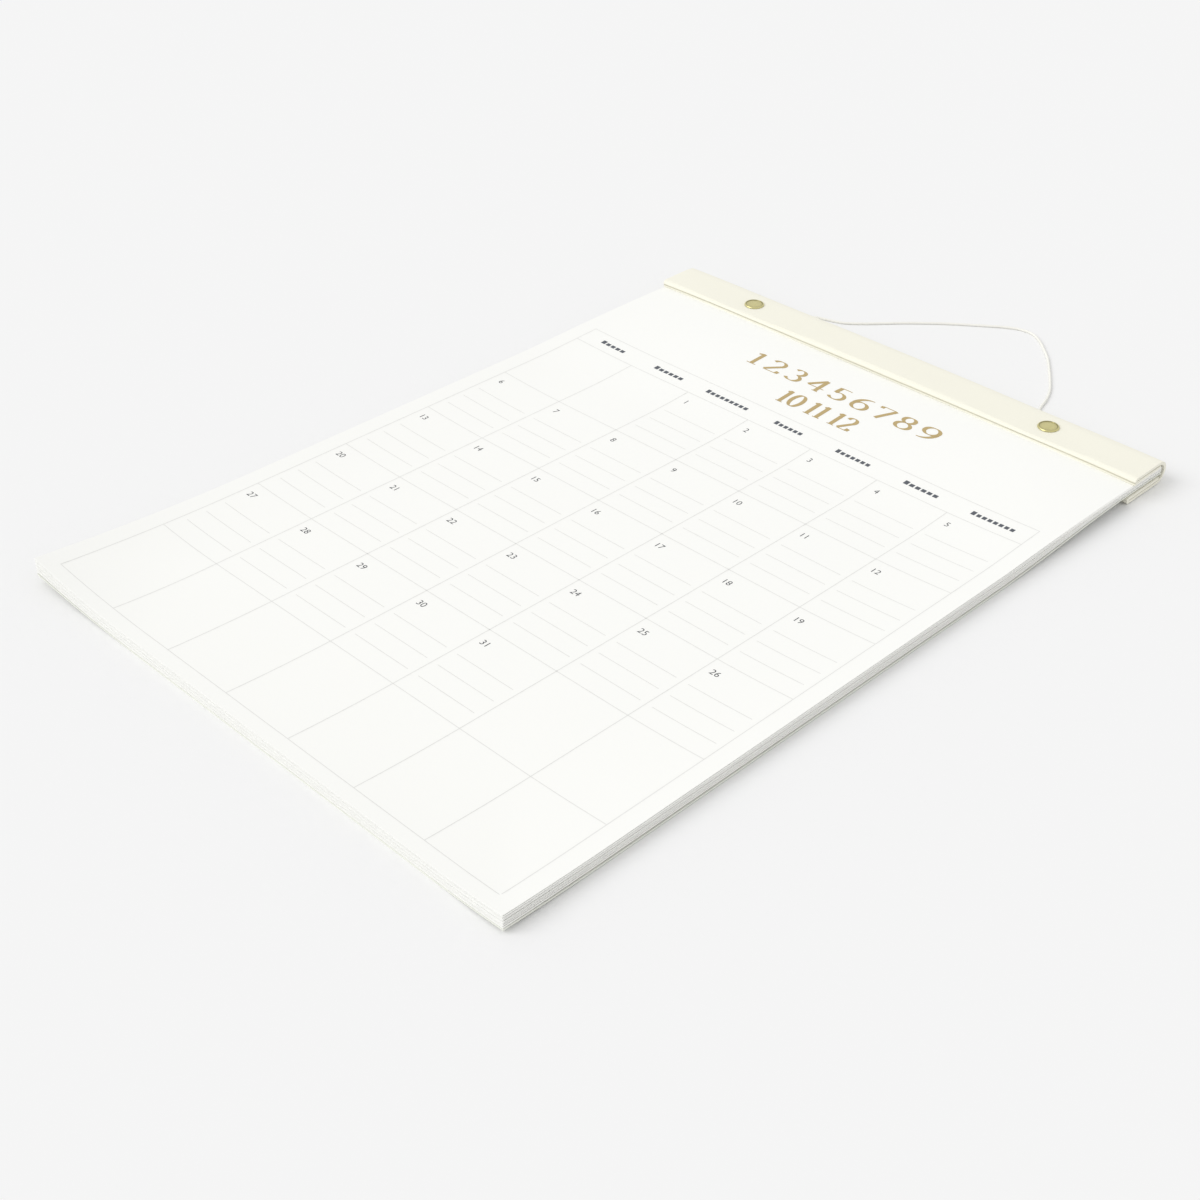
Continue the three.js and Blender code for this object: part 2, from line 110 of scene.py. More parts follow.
FRONT_HEM_Y = LENGTH - FRONT_LEAF_DEPTH
BACK_HEM_Y = LENGTH - BACK_LEAF_DEPTH
SPINE_START_Y = LENGTH - SPINE_DEPTH
SHEET_TOP_Y = LENGTH - SPINE_DEPTH / 2
CLIMB_END_Y = BACK_HEM_Y - CLIMB_BEFORE_HEM
COLUMN_WIDTH = 2 * (HALF_WIDTH - GRID_SIDE_MARGIN) / COLUMNS
GRID_TOP_Y = GRID_FOOT_MARGIN + WEEKS * WEEK_HEIGHT
HEADING_TOP_Y = GRID_TOP_Y + HEADING_HEIGHT
BACK_LEAF_LIFT = REAR_CAP_HEIGHT + CORD_DIAMETER + 2 * CLEARANCE
CARD_CLAMP_LEVEL = BACK_LEAF_LIFT + LEAF_PRESSED + CLEARANCE

# Finer forms that the solids don't have. Lengths are in millimetres, the turns are radians from
# sheet to sheet, the dates' and the rules' places are shares of a cell, the pen's widths shares of
# a numeral, and cells are counted across and up
FINE_CELLS, COARSE_CELLS = (60, 84), (30, 46)
SHEET_STAGGER, SIDE_TURN = 0.5, 2.4
FOOT_STAGGER, FOOT_TURN = 0.12, 1.7
SIDE_SAG, FOOT_SAG, CORNER_SAG = 0.25, 0.68, 1.4
UNDER_TOP_GAP = 0.02
FLUTTER_LENGTH = 55
PUNCH_REACH = 4.6
STRIP_COLUMNS = 120
SWELL_ACROSS, SWELL_ALONG, SWELL_BIAS, PADDING_RISE = 26, 17, 0.35, 0.12
SEAT_REACH, SEAT_DEPTH = 8.5, 0.9
HEM_WAVE, HEM_WAVE_LENGTH, HEM_WAVE_REACH = 0.22, 19, 3.5
FRONT_LEAF_ABOVE = 6
LIP_HEIGHT, LIP_DROP, LIP_FLATTEN = 1.1, 0.22, 0.8
CREASE_DEPTH, CREASE_REACH = 0.35, 0.26
HEM_SKIN_INSIDE, HEM_SKIN_OUTSIDE = 0.35, 0.4
GROOVE_INSIDE_RIM, GROOVE_REACH = 0.45, 0.26
CORD_SIDES, CORD_STEP = 15, 0.5
EYE_STEPS, NECK_STEPS, WRAP_STEPS = 60, 12, 28
KNOT_RISE, WRAP_RADIUS, WRAP_STRAND = 0.45, 0.62, 0.47
KNOT_WRAPS = ((-0.75, 0.35), (0.05, -0.3), (0.8, 0.3))
STRANDS, STRAND_ROOT, STRAND_SWELL = 3, 0.76, 0.24
INK_RISE, RULE_RISE, STRIPE_CELL = 0.05, 0.045, 5
DATE_PLACE, DATE_THINNER, FIGURE_SHARE = 0.15, 0.03, 0.73
RULE_LEFT, RULE_RIGHT, RULE_SHARES = 0.08, 0.92, (0.4, 0.6, 0.8)
HAIRLINE, STEM_SWELL, STEM_POWER = 0.022, 0.073, 1.6
BLOCK_PITCH, BLOCK_GAP, BLOCK_DROP = 3.1, 0.9, 1.2
FIRST_BLOCK_RISE, BLOCK_RISE = 1.75, 1.05

# Painted shade: the dark tone of the crease above the front hem's lip
CREASE_SHADE_TONE = (0.54, 0.52, 0.41)
# Painted shade: the dark tone of the groove inside each cap's rim
GROOVE_SHADE_TONE = (0.27, 0.24, 0.12)

# The camera's place in metres, the way it looks and its right side; where the key lamp shines from
CAMERA_PLACE = (0.4846, -0.5000, 0.4482)
CAMERA_LOOK = (-0.5794, 0.5790, -0.5737)
CAMERA_RIGHT = (0.7060, 0.7082, 0.0017)
SENSOR_WIDTH = 36
KEY_FROM, KEY_ANGLE = (-0.42, -0.62, 0.66), 40
FLOOR_SIZE, FLOOR_DROP = 12, 0.02

# The cord's middle line from the left knot to the right one, across, up and over the table
CORD_ROUTE = [
    (-88.9, 201.8, 1.3), (-87.0, 205.2, 1.1), (-84.8, 209.6, 0.8), (-82.4, 215.4, 0.7),
    (-79.4, 221.2, 0.7), (-74.4, 225.6, 0.7), (-67.4, 227.8, 0.7), (-59.4, 231.2, 0.7),
    (-51.8, 237.8, 0.7), (-43.4, 247.0, 0.7), (-36.0, 255.0, 0.7), (-28.2, 262.4, 0.7),
    (-19.8, 270.0, 0.7), (-10.8, 277.2, 0.7), (-2.6, 283.4, 0.7), (4.8, 288.8, 0.7),
    (11.8, 292.2, 0.7), (19.4, 292.6, 0.7), (27.2, 288.2, 0.7), (34.2, 281.8, 0.7),
    (41.2, 274.8, 0.7), (48.5, 265.4, 0.7), (55.6, 255.6, 0.7), (61.8, 246.2, 0.7),
    (66.2, 236.6, 0.7), (69.2, 226.6, 0.7), (72.6, 217.6, 0.7), (77.4, 210.4, 0.8),
    (83.2, 204.4, 1.1), (87.4, 200.8, 1.3),
]


class CalendarPaper(bpy.types.PropertyGroup):
    """Sheets of the pad and the card under them."""

    sheets: bpy.props.IntProperty(
        name="Sheets", description="Sheets in the pad", default=SHEETS, min=2, max=SHEETS)
    thickness: bpy.props.FloatProperty(
        name="Sheet thickness", description="Thickness of one sheet", default=0.29 * MM,
        min=0.05 * MM, max=0.3 * MM, precision=5, unit="LENGTH")
    flutter: bpy.props.FloatProperty(
        name="Flutter", description="How far the free edges of the sheets wander",
        default=0.05 * MM, min=0, max=0.1 * MM, precision=5, unit="LENGTH")
    colour: bpy.props.FloatVectorProperty(
        name="Paper", description="Colour of the paper", default=(0.965, 0.965, 0.935),
        min=0, max=1, subtype="COLOR")
    card_colour: bpy.props.FloatVectorProperty(
        name="Card", description="Colour of the backing card", default=(0.86, 0.87, 0.80),
        min=0, max=1, subtype="COLOR")


class CalendarStrip(bpy.types.PropertyGroup):
    """Cloth strip that holds the sheets."""

    cloth: bpy.props.FloatProperty(
        name="Cloth thickness", description="Thickness of the folded cloth band",
        default=1.5 * MM, min=0.5 * MM, max=1.6 * MM, precision=4, unit="LENGTH")
    thread: bpy.props.FloatProperty(
        name="Thread pitch", description="Distance from thread to thread in the weave",
        default=0.55 * MM, min=0.2 * MM, max=2 * MM, precision=5, unit="LENGTH")
    softness: bpy.props.FloatProperty(
        name="Softness", description="How far the cloth swells and sinks over its padding",
        default=0.16 * MM, min=0, max=0.6 * MM, precision=5, unit="LENGTH")
    colour: bpy.props.FloatVectorProperty(
        name="Cloth", description="Colour of the cloth", default=(0.94, 0.92, 0.80),
        min=0, max=1, subtype="COLOR")


class CalendarRivets(bpy.types.PropertyGroup):
    """Rivets through the strip."""

    rim: bpy.props.FloatProperty(
        name="Rim", description="Width of the raised rim round a cap", default=0.45 * MM,
        min=0.2 * MM, max=1 * MM, precision=4, unit="LENGTH")
    sides: bpy.props.IntProperty(
        name="Sides", description="Sides of a turned piece", default=72, min=24, max=128)
    colour: bpy.props.FloatVectorProperty(
        name="Brass", description="Colour of the brass", default=(0.74, 0.68, 0.33),
        min=0, max=1, subtype="COLOR")


class CalendarCord(bpy.types.PropertyGroup):
    """Hanging cord and its knots."""

    diameter: bpy.props.FloatProperty(
        name="Cord diameter", description="Diameter of the cord", default=CORD_DIAMETER * MM,
        min=0.8 * MM, max=1.3 * MM, precision=4, unit="LENGTH")
    twist: bpy.props.FloatProperty(
        name="Twist", description="Length in which the strands turn once", default=4.5 * MM,
        min=2 * MM, max=20 * MM, precision=4, unit="LENGTH")
    colour: bpy.props.FloatVectorProperty(
        name="Cord", description="Colour of the cord", default=(0.96, 0.95, 0.89),
        min=0, max=1, subtype="COLOR")


class CalendarPrint(bpy.types.PropertyGroup):
    """Print on the top sheet."""

    line: bpy.props.FloatProperty(
        name="Grid line", description="Width of the grid's lines", default=0.3 * MM,
        min=0.1 * MM, max=1 * MM, precision=5, unit="LENGTH")
    rule: bpy.props.FloatProperty(
        name="Writing rule", description="Width of the writing rules in the dated cells",
        default=0.22 * MM, min=0.1 * MM, max=1 * MM, precision=5, unit="LENGTH")
    date_height: bpy.props.FloatProperty(
        name="Date height", description="Height of the date numbers", default=3.6 * MM,
        min=1 * MM, max=8 * MM, precision=4, unit="LENGTH")
    first_column: bpy.props.IntProperty(
        name="First column", description="Column that the first day stands in", default=2,
        min=0, max=COLUMNS - 1)
    days: bpy.props.IntProperty(
        name="Days", description="Days of the month", default=31, min=28, max=31)
    line_colour: bpy.props.FloatVectorProperty(
        name="Grid ink", description="Colour of the grid", default=(0.80, 0.80, 0.775),
        min=0, max=1, subtype="COLOR")
    rule_colour: bpy.props.FloatVectorProperty(
        name="Rule ink", description="Colour of the writing rules", default=(0.745, 0.745, 0.72),
        min=0, max=1, subtype="COLOR")
    date_colour: bpy.props.FloatVectorProperty(
        name="Date ink", description="Colour of the dates", default=(0.06, 0.065, 0.075),
        min=0, max=1, subtype="COLOR")
    heading_colour: bpy.props.FloatVectorProperty(
        name="Heading ink", description="Colour of the headings", default=(0.10, 0.11, 0.13),
        min=0, max=1, subtype="COLOR")
    title_colour: bpy.props.FloatVectorProperty(
        name="Title ink", description="Colour of the title", default=(0.52, 0.385, 0.165),
        min=0, max=1, subtype="COLOR")


class CalendarStage(bpy.types.PropertyGroup):
    """Floor, light and camera."""

    lens: bpy.props.FloatProperty(
        name="Lens", description="Focal length of the camera", default=54.99, min=10, max=300)
    sky: bpy.props.FloatProperty(
        name="Sky", description="Strength of the light from all round", default=0.78, min=0, max=2)
    key: bpy.props.FloatProperty(
        name="Key", description="Strength of the soft lamp on the left", default=1.1,
        min=0, max=10)
    floor_colour: bpy.props.FloatVectorProperty(
        name="Floor", description="Colour of the floor", default=(0.905, 0.905, 0.905),
        min=0, max=1, subtype="COLOR")
    backdrop: bpy.props.FloatProperty(
        name="Backdrop", default=0.913, min=0, max=1,
        description="Brightness of what the camera and shiny metal see past the floor")


def smooth(t):
    s = min(1.0, max(0.0, t))
    return s * s * (3 - 2 * s)


def fade(distance, reach):
    """One at the start of a reach and nothing past its end, with a soft landing."""
    return max(0.0, 1 - distance / reach) ** 2


def clamp_droop(x):
    """How far the clamped stack sinks past the rivets."""
    past = max(0.0, abs(x) - RIVET_X) / (HALF_WIDTH - RIVET_X)
    return END_DROOP * past ** 2


def left_corner(x, y):
    """How near a point is to the curled corner at the left of the foot, from 0 to 1."""
    return fade(HALF_WIDTH + x + CORNER_SLANT * y, LEFT_REACH)


def card_underside(x, y):
    from_left = HALF_WIDTH + x
    from_right = HALF_WIDTH - x
    rise = SIDE_LIFT * fade(min(from_left, from_right), SIDE_REACH)
    rise += LEFT_LIFT * left_corner(x, y)
    rise += RIGHT_LIFT * fade(from_right + CORNER_SLANT * y, RIGHT_REACH)
    climb = smooth((y - CLIMB_END_Y + CLIMB_LENGTH) / CLIMB_LENGTH)
    return rise * (1 - climb) + (CARD_CLAMP_LEVEL - clamp_droop(x)) * climb


def held(y):
    """How far a point of the pad is held down by the strip, from 0 to 1."""
    return smooth((y - PRESSED_FROM) / (FRONT_HEM_Y - PRESSED_FROM))


def edge_share(x, y):
    """How near a point is to a free edge, from 0 to 1."""
    return fade(min(HALF_WIDTH - abs(x), y), EDGE_FAN_REACH)


def pad_underside(x, y):
    parting = CARD_PARTING * edge_share(x, y) * (1 - held(y))
    curl = LEFT_CURL * left_corner(x, y)
    return card_underside(x, y) + CARD_THICKNESS + CLEARANCE + parting + curl


def sag(x, y):
    """How far the lowest sheet hangs down towards the card at the free edges."""
    fall = SIDE_SAG * edge_share(x, y) * (1 - held(y)) + FOOT_SAG * fade(y, EDGE_FAN_REACH)
    return fall + CORNER_SAG * left_corner(x, y)


def sheet_pitch(x, y):
    free = LOOSE_PITCH + EDGE_FAN * edge_share(x, y)
    return free + (PRESSED_PITCH - free) * held(y)


def pad_topside(x, y):
    """Height of the top sheet's upper face."""
    return pad_underside(x, y) + bpy.context.scene.calendar_paper.sheets * sheet_pitch(x, y)


def pinch(x):
    """How hard the rivets pinch the strip, from 0 to 1."""
    return math.exp(-(((abs(x) - RIVET_X) / PINCH_REACH) ** 2))


def leaf_height(x):
    """Height of a folded leaf of the strip, from its inner face to its outer one."""
    return LEAF_THICKNESS + (LEAF_PRESSED - LEAF_THICKNESS) * pinch(x)


def front_level(x):
    """Height of the front leaf's underside over the table."""
    stack = CARD_CLAMP_LEVEL + CARD_THICKNESS + 2 * CLEARANCE + SHEETS * PRESSED_PITCH
    return stack - clamp_droop(x)


def strip_section(x):
    """Middle line of the folded band at x, from the front hem's cut edge to the back one's.

    Each point is (y, z, share), where share is 1 on the outer faces that may swell.
    """
    leaf = leaf_height(x)
    cloth = (leaf - CLEARANCE) / 2
    back_low = BACK_LEAF_LIFT * pinch(x)
    front_low = front_level(x)
    front_high = front_low + leaf
    nose = (leaf - cloth) / 2
    spine = (front_high - back_low - cloth) / 2
    return_y = SPINE_START_Y + HEM_RETURN_STOP
    points = []

    def run(from_y, to_y, z, steps, share):
        for k in range(steps):
            points.append((from_y + (to_y - from_y) * k / steps, z, share))

    def turn(centre_y, centre_z, radius_y, radius_z, start, end, steps, share):
        for k in range(steps):
            angle = start + (end - start) * k / steps
            y = centre_y + radius_y * math.cos(angle)
            points.append((y, centre_z + radius_z * math.sin(angle), share))

    half = math.pi / 2
    run(return_y, FRONT_HEM_Y + leaf / 2, front_low + cloth / 2, 6, 0)
    turn(FRONT_HEM_Y + leaf / 2, front_low + leaf / 2, nose, nose, -half, -3 * half, 22, 0.4)
    run(FRONT_HEM_Y + leaf / 2, SPINE_START_Y, front_high - cloth / 2, 16, 1)
    turn(SPINE_START_Y, (front_high + back_low) / 2, SPINE_DEPTH - cloth / 2, spine,
         half, -half, 22, 0.6)
    run(SPINE_START_Y, BACK_HEM_Y + leaf / 2, back_low + cloth / 2, 12, 0)
    turn(BACK_HEM_Y + leaf / 2, back_low + leaf / 2, nose, nose, -half, -3 * half, 10, 0)
    run(BACK_HEM_Y + leaf / 2, return_y, back_low + leaf - cloth / 2, 6, 0)
    points.append((return_y, back_low + leaf - cloth / 2, 0))
    return points


def place(x, y, z):
    """A point of the solids' millimetres, as a point of the frame in metres."""
    return Vector((x, y + FOOT_Y, z)) * MM


def spot(point):
    """Where a point of the frame stands on the sheets, in the solids' millimetres."""
    return point.x / MM, point.y / MM - FOOT_Y


def deselect_all():
    if bpy.context.object and bpy.context.object.mode != "OBJECT":
        bpy.ops.object.mode_set(mode="OBJECT")
    bpy.ops.object.select_all(action="DESELECT")


def make_active(piece):
    deselect_all()
    piece.select_set(True)
    bpy.context.view_layer.objects.active = piece


def join(pieces, name):
    deselect_all()
    for piece in pieces:
        piece.select_set(True)
    bpy.context.view_layer.objects.active = pieces[0]
    if len(pieces) > 1:
        bpy.ops.object.join()
    joined = bpy.context.object
    joined.name = name
    joined.data.name = name
    return joined


def mesh_piece(name, vertices, faces):
    """A piece from a list of points in metres and a list of faces."""
    mesh = bpy.data.meshes.new(name)
    mesh.from_pydata([tuple(v) for v in vertices], [], faces)
    piece = bpy.data.objects.new(name, mesh)
    bpy.context.collection.objects.link(piece)
    return piece


def face_outwards(piece):
    """Points the faces of a closed piece outwards, and leaves edit mode."""
    if piece.mode != "EDIT":
        make_active(piece)
        bpy.ops.object.mode_set(mode="EDIT")
    bpy.ops.mesh.select_all(action="SELECT")
    bpy.ops.mesh.normals_make_consistent(inside=False)
    bpy.ops.object.mode_set(mode="OBJECT")


def settle(piece):
    """Puts a piece's place, turn and size into its mesh."""
    make_active(piece)
    bpy.ops.object.transform_apply(location=True, rotation=True, scale=True)


def thicken(piece, thickness, offset):
    """Gives a single-layer piece its thickness, towards its back for an offset of -1."""
    make_active(piece)
    wall = piece.modifiers.new("Thickness", "SOLIDIFY")
    wall.thickness = thickness
    wall.offset = offset
    wall.use_even_offset = True
    bpy.ops.object.modifier_apply(modifier=wall.name)


def grid_piece(name, left, right, foot, head, across, up):
    """A flat grid between four sides in the solids' millimetres."""
    deselect_all()
    middle = place((left + right) / 2, (foot + head) / 2, 0)
    bpy.ops.mesh.primitive_grid_add(
        x_subdivisions=across, y_subdivisions=up, size=1, location=middle, calc_uvs=True)
    piece = bpy.context.object
    piece.name = name
    piece.scale = ((right - left) * MM, (head - foot) * MM, 1)
    settle(piece)
    return piece


def lift(piece, height):
    """Raises every vertex to height(x, y), in the solids' millimetres."""
    for vertex in piece.data.vertices:
        vertex.co.z = height(*spot(vertex.co)) * MM


def finish_piece(piece, material, nodes=()):
    """Dresses a finished piece and hands it to the frame."""
    piece.data.materials.clear()
    piece.data.materials.append(material)
    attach(piece, "root")
    if nodes:
        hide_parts(*nodes)


def soften(piece, angle=35):
    make_active(piece)
    bpy.ops.object.shade_smooth_by_angle(angle=math.radians(angle))


def turned(name, profile, sides, middle):
    """A turned piece: a disc drawn up and out through (radius, height) points, in millimetres."""
    deselect_all()
    radius, height = profile[0]
    bpy.ops.mesh.primitive_circle_add(
        vertices=sides, radius=radius * MM, fill_type="NGON",
        location=middle + Vector((0, 0, height * MM)))
    piece = bpy.context.object
    piece.name = name
    settle(piece)
    bpy.ops.object.mode_set(mode="EDIT")
    bpy.ops.mesh.select_all(action="SELECT")
    for next_radius, next_height in profile[1:]:
        bpy.ops.mesh.extrude_region_move(
            TRANSFORM_OT_translate={"value": (0, 0, (next_height - height) * MM)})
        share = next_radius / radius
        if abs(share - 1) > 1e-6:
            centre = middle + Vector((0, 0, next_height * MM))
            bpy.ops.transform.resize(value=(share, share, 1), center_override=centre)
        radius, height = next_radius, next_height
    face_outwards(piece)
    return piece


def cord_line():
    """Points along the cord's middle, close together, in metres."""
    route = [Vector(point) * MM for point in CORD_ROUTE]
    ends = [2 * route[0] - route[1], *route, 2 * route[-1] - route[-2]]
    line = []
    for k in range(1, len(ends) - 2):
        before, start, end, after = ends[k - 1:k + 3]
        first = (start - before).length ** 0.5
        span = (end - start).length ** 0.5
        last = (after - end).length ** 0.5
        leave = (start - before) / first - (end - before) / (first + span) + (end - start) / span
        arrive = (end - start) / span - (after - start) / (span + last) + (after - end) / last
        leave, arrive = leave * span, arrive * span
        steps = max(2, round((end - start).length / (CORD_STEP * MM)))
        for step in range(steps):
            t = step / steps
            bend = (2 * t ** 3 - 3 * t ** 2 + 1) * start + (3 * t ** 2 - 2 * t ** 3) * end
            line.append(bend + (t ** 3 - 2 * t ** 2 + t) * leave + (t ** 3 - t ** 2) * arrive)
    line.append(route[-1])
    return line


def twisted_tube(name, line, radius, twist, closed=False):
    """A cord of three twisted strands along a line, drawn as one lobed skin."""
    sides = CORD_SIDES
    vertices, faces = [], []
    count = len(line)
    travelled = 0.0
    aside = None
    total = sum((line[(k + 1) % count] - line[k]).length for k in range(count))
    turns = max(1, round(total / twist)) if closed else total / twist
    for k, point in enumerate(line):
        ahead = line[(k + 1) % count] if closed or k < count - 1 else point
        behind = line[k - 1] if closed or k > 0 else point
        along = (ahead - behind).normalized()
        if aside is None:
            aside = along.cross(Vector((0, 0, 1))).normalized()
        aside = (aside - along * aside.dot(along)).normalized()
        up = along.cross(aside)
        if k > 0:
            travelled += (point - line[k - 1]).length
        lay = 2 * math.pi * turns * travelled / total
        for side in range(sides):
            angle = 2 * math.pi * side / sides
            lobe = abs(math.cos(STRANDS / 2 * (angle - lay)))
            reach = radius * (STRAND_ROOT + STRAND_SWELL * math.sqrt(lobe))
            vertices.append(point + (aside * math.cos(angle) + up * math.sin(angle)) * reach)
    rings = count if closed else count - 1
    for k in range(rings):
        for side in range(sides):
            ring, ring_after = k * sides, ((k + 1) % count) * sides
            side_after = (side + 1) % sides
            faces.append((ring + side, ring + side_after, ring_after + side_after,
                          ring_after + side))
    if not closed:
        faces.append(tuple(reversed(range(sides))))
        faces.append(tuple((count - 1) * sides + side for side in range(sides)))
    piece = mesh_piece(name, vertices, faces)
    face_outwards(piece)
    soften(piece, 60)
    return piece


def knotted_end(side, cord, line):
    """The eye that the cord makes round a rivet's socket, and the knot that closes it."""
    word = "left" if side < 0 else "right"
    radius = cord.diameter / 2
    end = line[0] if side < 0 else line[-1]
    middle = place(side * RIVET_X, RIVET_Y, REAR_CAP_HEIGHT + CLEARANCE + CORD_DIAMETER / 2)
    away = Vector((end.x - middle.x, end.y - middle.y, 0)).normalized()
    across = Vector((-away.y, away.x, 0))
    eye_radius = (POST_RADIUS + CLEARANCE + SOCKET_WALL + CLEARANCE + CORD_DIAMETER / 2) * MM
    knot = middle + away * KNOT_FROM_RIVET * MM
    knot.z = radius + KNOT_RISE * MM
    loop = []
    for k in range(EYE_STEPS):
        angle = 2 * math.pi * k / EYE_STEPS
        reach = Vector((math.cos(angle), math.sin(angle), 0)) * eye_radius
        loop.append(middle + reach)
    parts = [twisted_tube("eye", loop, radius, cord.twist, closed=True)]
    neck_start = middle + away * eye_radius
    neck = [neck_start.lerp(end, k / NECK_STEPS) for k in range(NECK_STEPS + 1)]
    parts.append(twisted_tube("neck", neck, radius, cord.twist))
    for along, tilt in KNOT_WRAPS:
        centre = knot + away * along * MM
        ring = []
        for k in range(WRAP_STEPS):
            angle = 2 * math.pi * k / WRAP_STEPS
            spoke = across * math.cos(angle) + Vector((0, 0, 1)) * math.sin(angle)
            ring.append(centre + spoke * WRAP_RADIUS * MM + away * math.cos(angle) * tilt * MM)
        parts.append(twisted_tube("wrap", ring, WRAP_STRAND * MM, cord.twist, closed=True))
    return join(parts, f"cord_knot_{word}")


def new_group(name, inputs, outputs):
    """A shader node group with named float or vector sockets."""
    group = bpy.data.node_groups.new(name, "ShaderNodeTree")
    for socket, kind, value in inputs:
        made = group.interface.new_socket(socket, in_out="INPUT", socket_type=kind)
        if value is not None:
            made.default_value = value
    for socket, kind in outputs:
        group.interface.new_socket(socket, in_out="OUTPUT", socket_type=kind)
    return group, group.nodes.new("NodeGroupInput"), group.nodes.new("NodeGroupOutput")


def grain_group():
    """Fine fibres over broad, faint clouds: a mask for the tone and a height for the relief."""
    name = "Calendar Grain"
    if name in bpy.data.node_groups:
        return bpy.data.node_groups[name]
    group, given, result = new_group(
        name,
        [("Vector", "NodeSocketVector", None), ("Fibre Scale", "NodeSocketFloat", 1500.0),
         ("Cloud Scale", "NodeSocketFloat", 30.0)],
        [("Mask", "NodeSocketFloat"), ("Height", "NodeSocketFloat")])
    nodes, links = group.nodes, group.links
    blend = nodes.new("ShaderNodeMix")
    blend.inputs["Factor"].default_value = 0.35
    for kind, detail, distortion, end in (("Fibre", 3, 0.6, "B"), ("Cloud", 2, 0, "A")):
        texture = nodes.new("ShaderNodeTexNoise")
        texture.inputs["Detail"].default_value = detail
        texture.inputs["Distortion"].default_value = distortion
        links.new(given.outputs["Vector"], texture.inputs["Vector"])
        links.new(given.outputs[f"{kind} Scale"], texture.inputs["Scale"])
        links.new(texture.outputs["Fac"], blend.inputs[end])
        if kind == "Fibre":
            links.new(texture.outputs["Fac"], result.inputs["Height"])
    links.new(blend.outputs["Result"], result.inputs["Mask"])
    return group


def weave_group():
    """Plain weave from two crossed thread waves: a height, and a mask of the hollows between the
    threads, where shade is painted.
    """
    name = "Calendar Weave"
    if name in bpy.data.node_groups:
        return bpy.data.node_groups[name]
    group, given, result = new_group(
        name,
        [("Vector", "NodeSocketVector", None), ("Threads", "NodeSocketFloat", 1800.0)],
        [("Mask", "NodeSocketFloat"), ("Height", "NodeSocketFloat")])
    nodes, links = group.nodes, group.links

    def math_node(operation, first=None, second=None):
        node = nodes.new("ShaderNodeMath")
        node.operation = operation
        for socket, value in zip(node.inputs, (first, second)):
            if isinstance(value, (int, float)):
                socket.default_value = value
            elif value is not None:
                links.new(value, socket)
        return node.outputs[0]

    wander = nodes.new("ShaderNodeTexNoise")
    wander.inputs["Scale"].default_value = 220
    wander.inputs["Detail"].default_value = 2
    links.new(given.outputs["Vector"], wander.inputs["Vector"])
    split = nodes.new("ShaderNodeSeparateXYZ")
    links.new(given.outputs["Vector"], split.inputs[0])
    slub = math_node("MULTIPLY", math_node("SUBTRACT", wander.outputs["Fac"], 0.5), 2.2)
    waves = []
    for axis in ("X", "Y"):
        turns = math_node("MULTIPLY", split.outputs[axis], given.outputs["Threads"])
        phase = math_node("MULTIPLY", math_node("ADD", turns, slub), math.pi)
        waves.append(math_node("SINE", phase))
    warp = math_node("ABSOLUTE", waves[0])
    weft = math_node("ABSOLUTE", waves[1])
    cross = math_node("MULTIPLY", waves[0], waves[1])
    over = math_node("MULTIPLY", cross, 0.25)
    height = math_node("ADD", math_node("MULTIPLY", math_node("ADD", warp, weft), 0.37), over)
    links.new(height, result.inputs["Height"])
    links.new(math_node("MULTIPLY", warp, weft), result.inputs["Mask"])
    return group


def principled(nodes):
    return next(node for node in nodes if node.type == "BSDF_PRINCIPLED")


def new_material(name):
    material = bpy.data.materials.new(name)
    material.use_nodes = True
    nodes = material.node_tree.nodes
    return material, nodes, material.node_tree.links, principled(nodes)


def blended(nodes, links, mask, socket):
    """Feeds a colour socket with a blend by a mask, between its inputs 6 and 7."""
    blend = nodes.new("ShaderNodeMix")
    blend.data_type = "RGBA"
    links.new(mask, blend.inputs["Factor"])
    links.new(blend.outputs[2], socket)
    return blend.inputs


def toned(nodes, links, mask, dark, light, socket):
    """Feeds a colour socket with a blend of two tones by a mask."""
    ends = blended(nodes, links, mask, socket)
    ends[6].default_value = (*dark, 1)
    ends[7].default_value = (*light, 1)


def marked(material, attribute, tone):
    """Turns a material to a tone where an attribute marks the mesh; it paints shade into the
    colour there.
    """
    nodes, links = material.node_tree.nodes, material.node_tree.links
    socket = principled(nodes).inputs["Base Color"]
    bare = socket.links[0].from_socket
    mark = nodes.new("ShaderNodeAttribute")
    mark.attribute_name = attribute
    ends = blended(nodes, links, mark.outputs["Fac"], socket)
    links.new(bare, ends[6])
    ends[7].default_value = (*tone, 1)


def bumped(nodes, links, height, strength, distance, shader):
    bump = nodes.new("ShaderNodeBump")
    bump.inputs["Strength"].default_value = strength
    bump.inputs["Distance"].default_value = distance
    links.new(height, bump.inputs["Height"])
    links.new(bump.outputs["Normal"], shader.inputs["Normal"])


def grained(name, colour, shade, roughness, fibre, cloud, relief, metallic=0, strength=0.35):
    """A material with fine grain on Object coordinates, from a shaded tone to its colour."""
    material, nodes, links, shader = new_material(name)
    where = nodes.new("ShaderNodeTexCoord")
    grain = nodes.new("ShaderNodeGroup")
    grain.node_tree = grain_group()
    grain.inputs["Fibre Scale"].default_value = fibre
    grain.inputs["Cloud Scale"].default_value = cloud
    links.new(where.outputs["Object"], grain.inputs["Vector"])
    dark = [channel * shade for channel in colour]
    toned(nodes, links, grain.outputs["Mask"], dark, colour, shader.inputs["Base Color"])
    bumped(nodes, links, grain.outputs["Height"], strength, relief, shader)
    shader.inputs["Roughness"].default_value = roughness
    shader.inputs["Metallic"].default_value = metallic
    return material


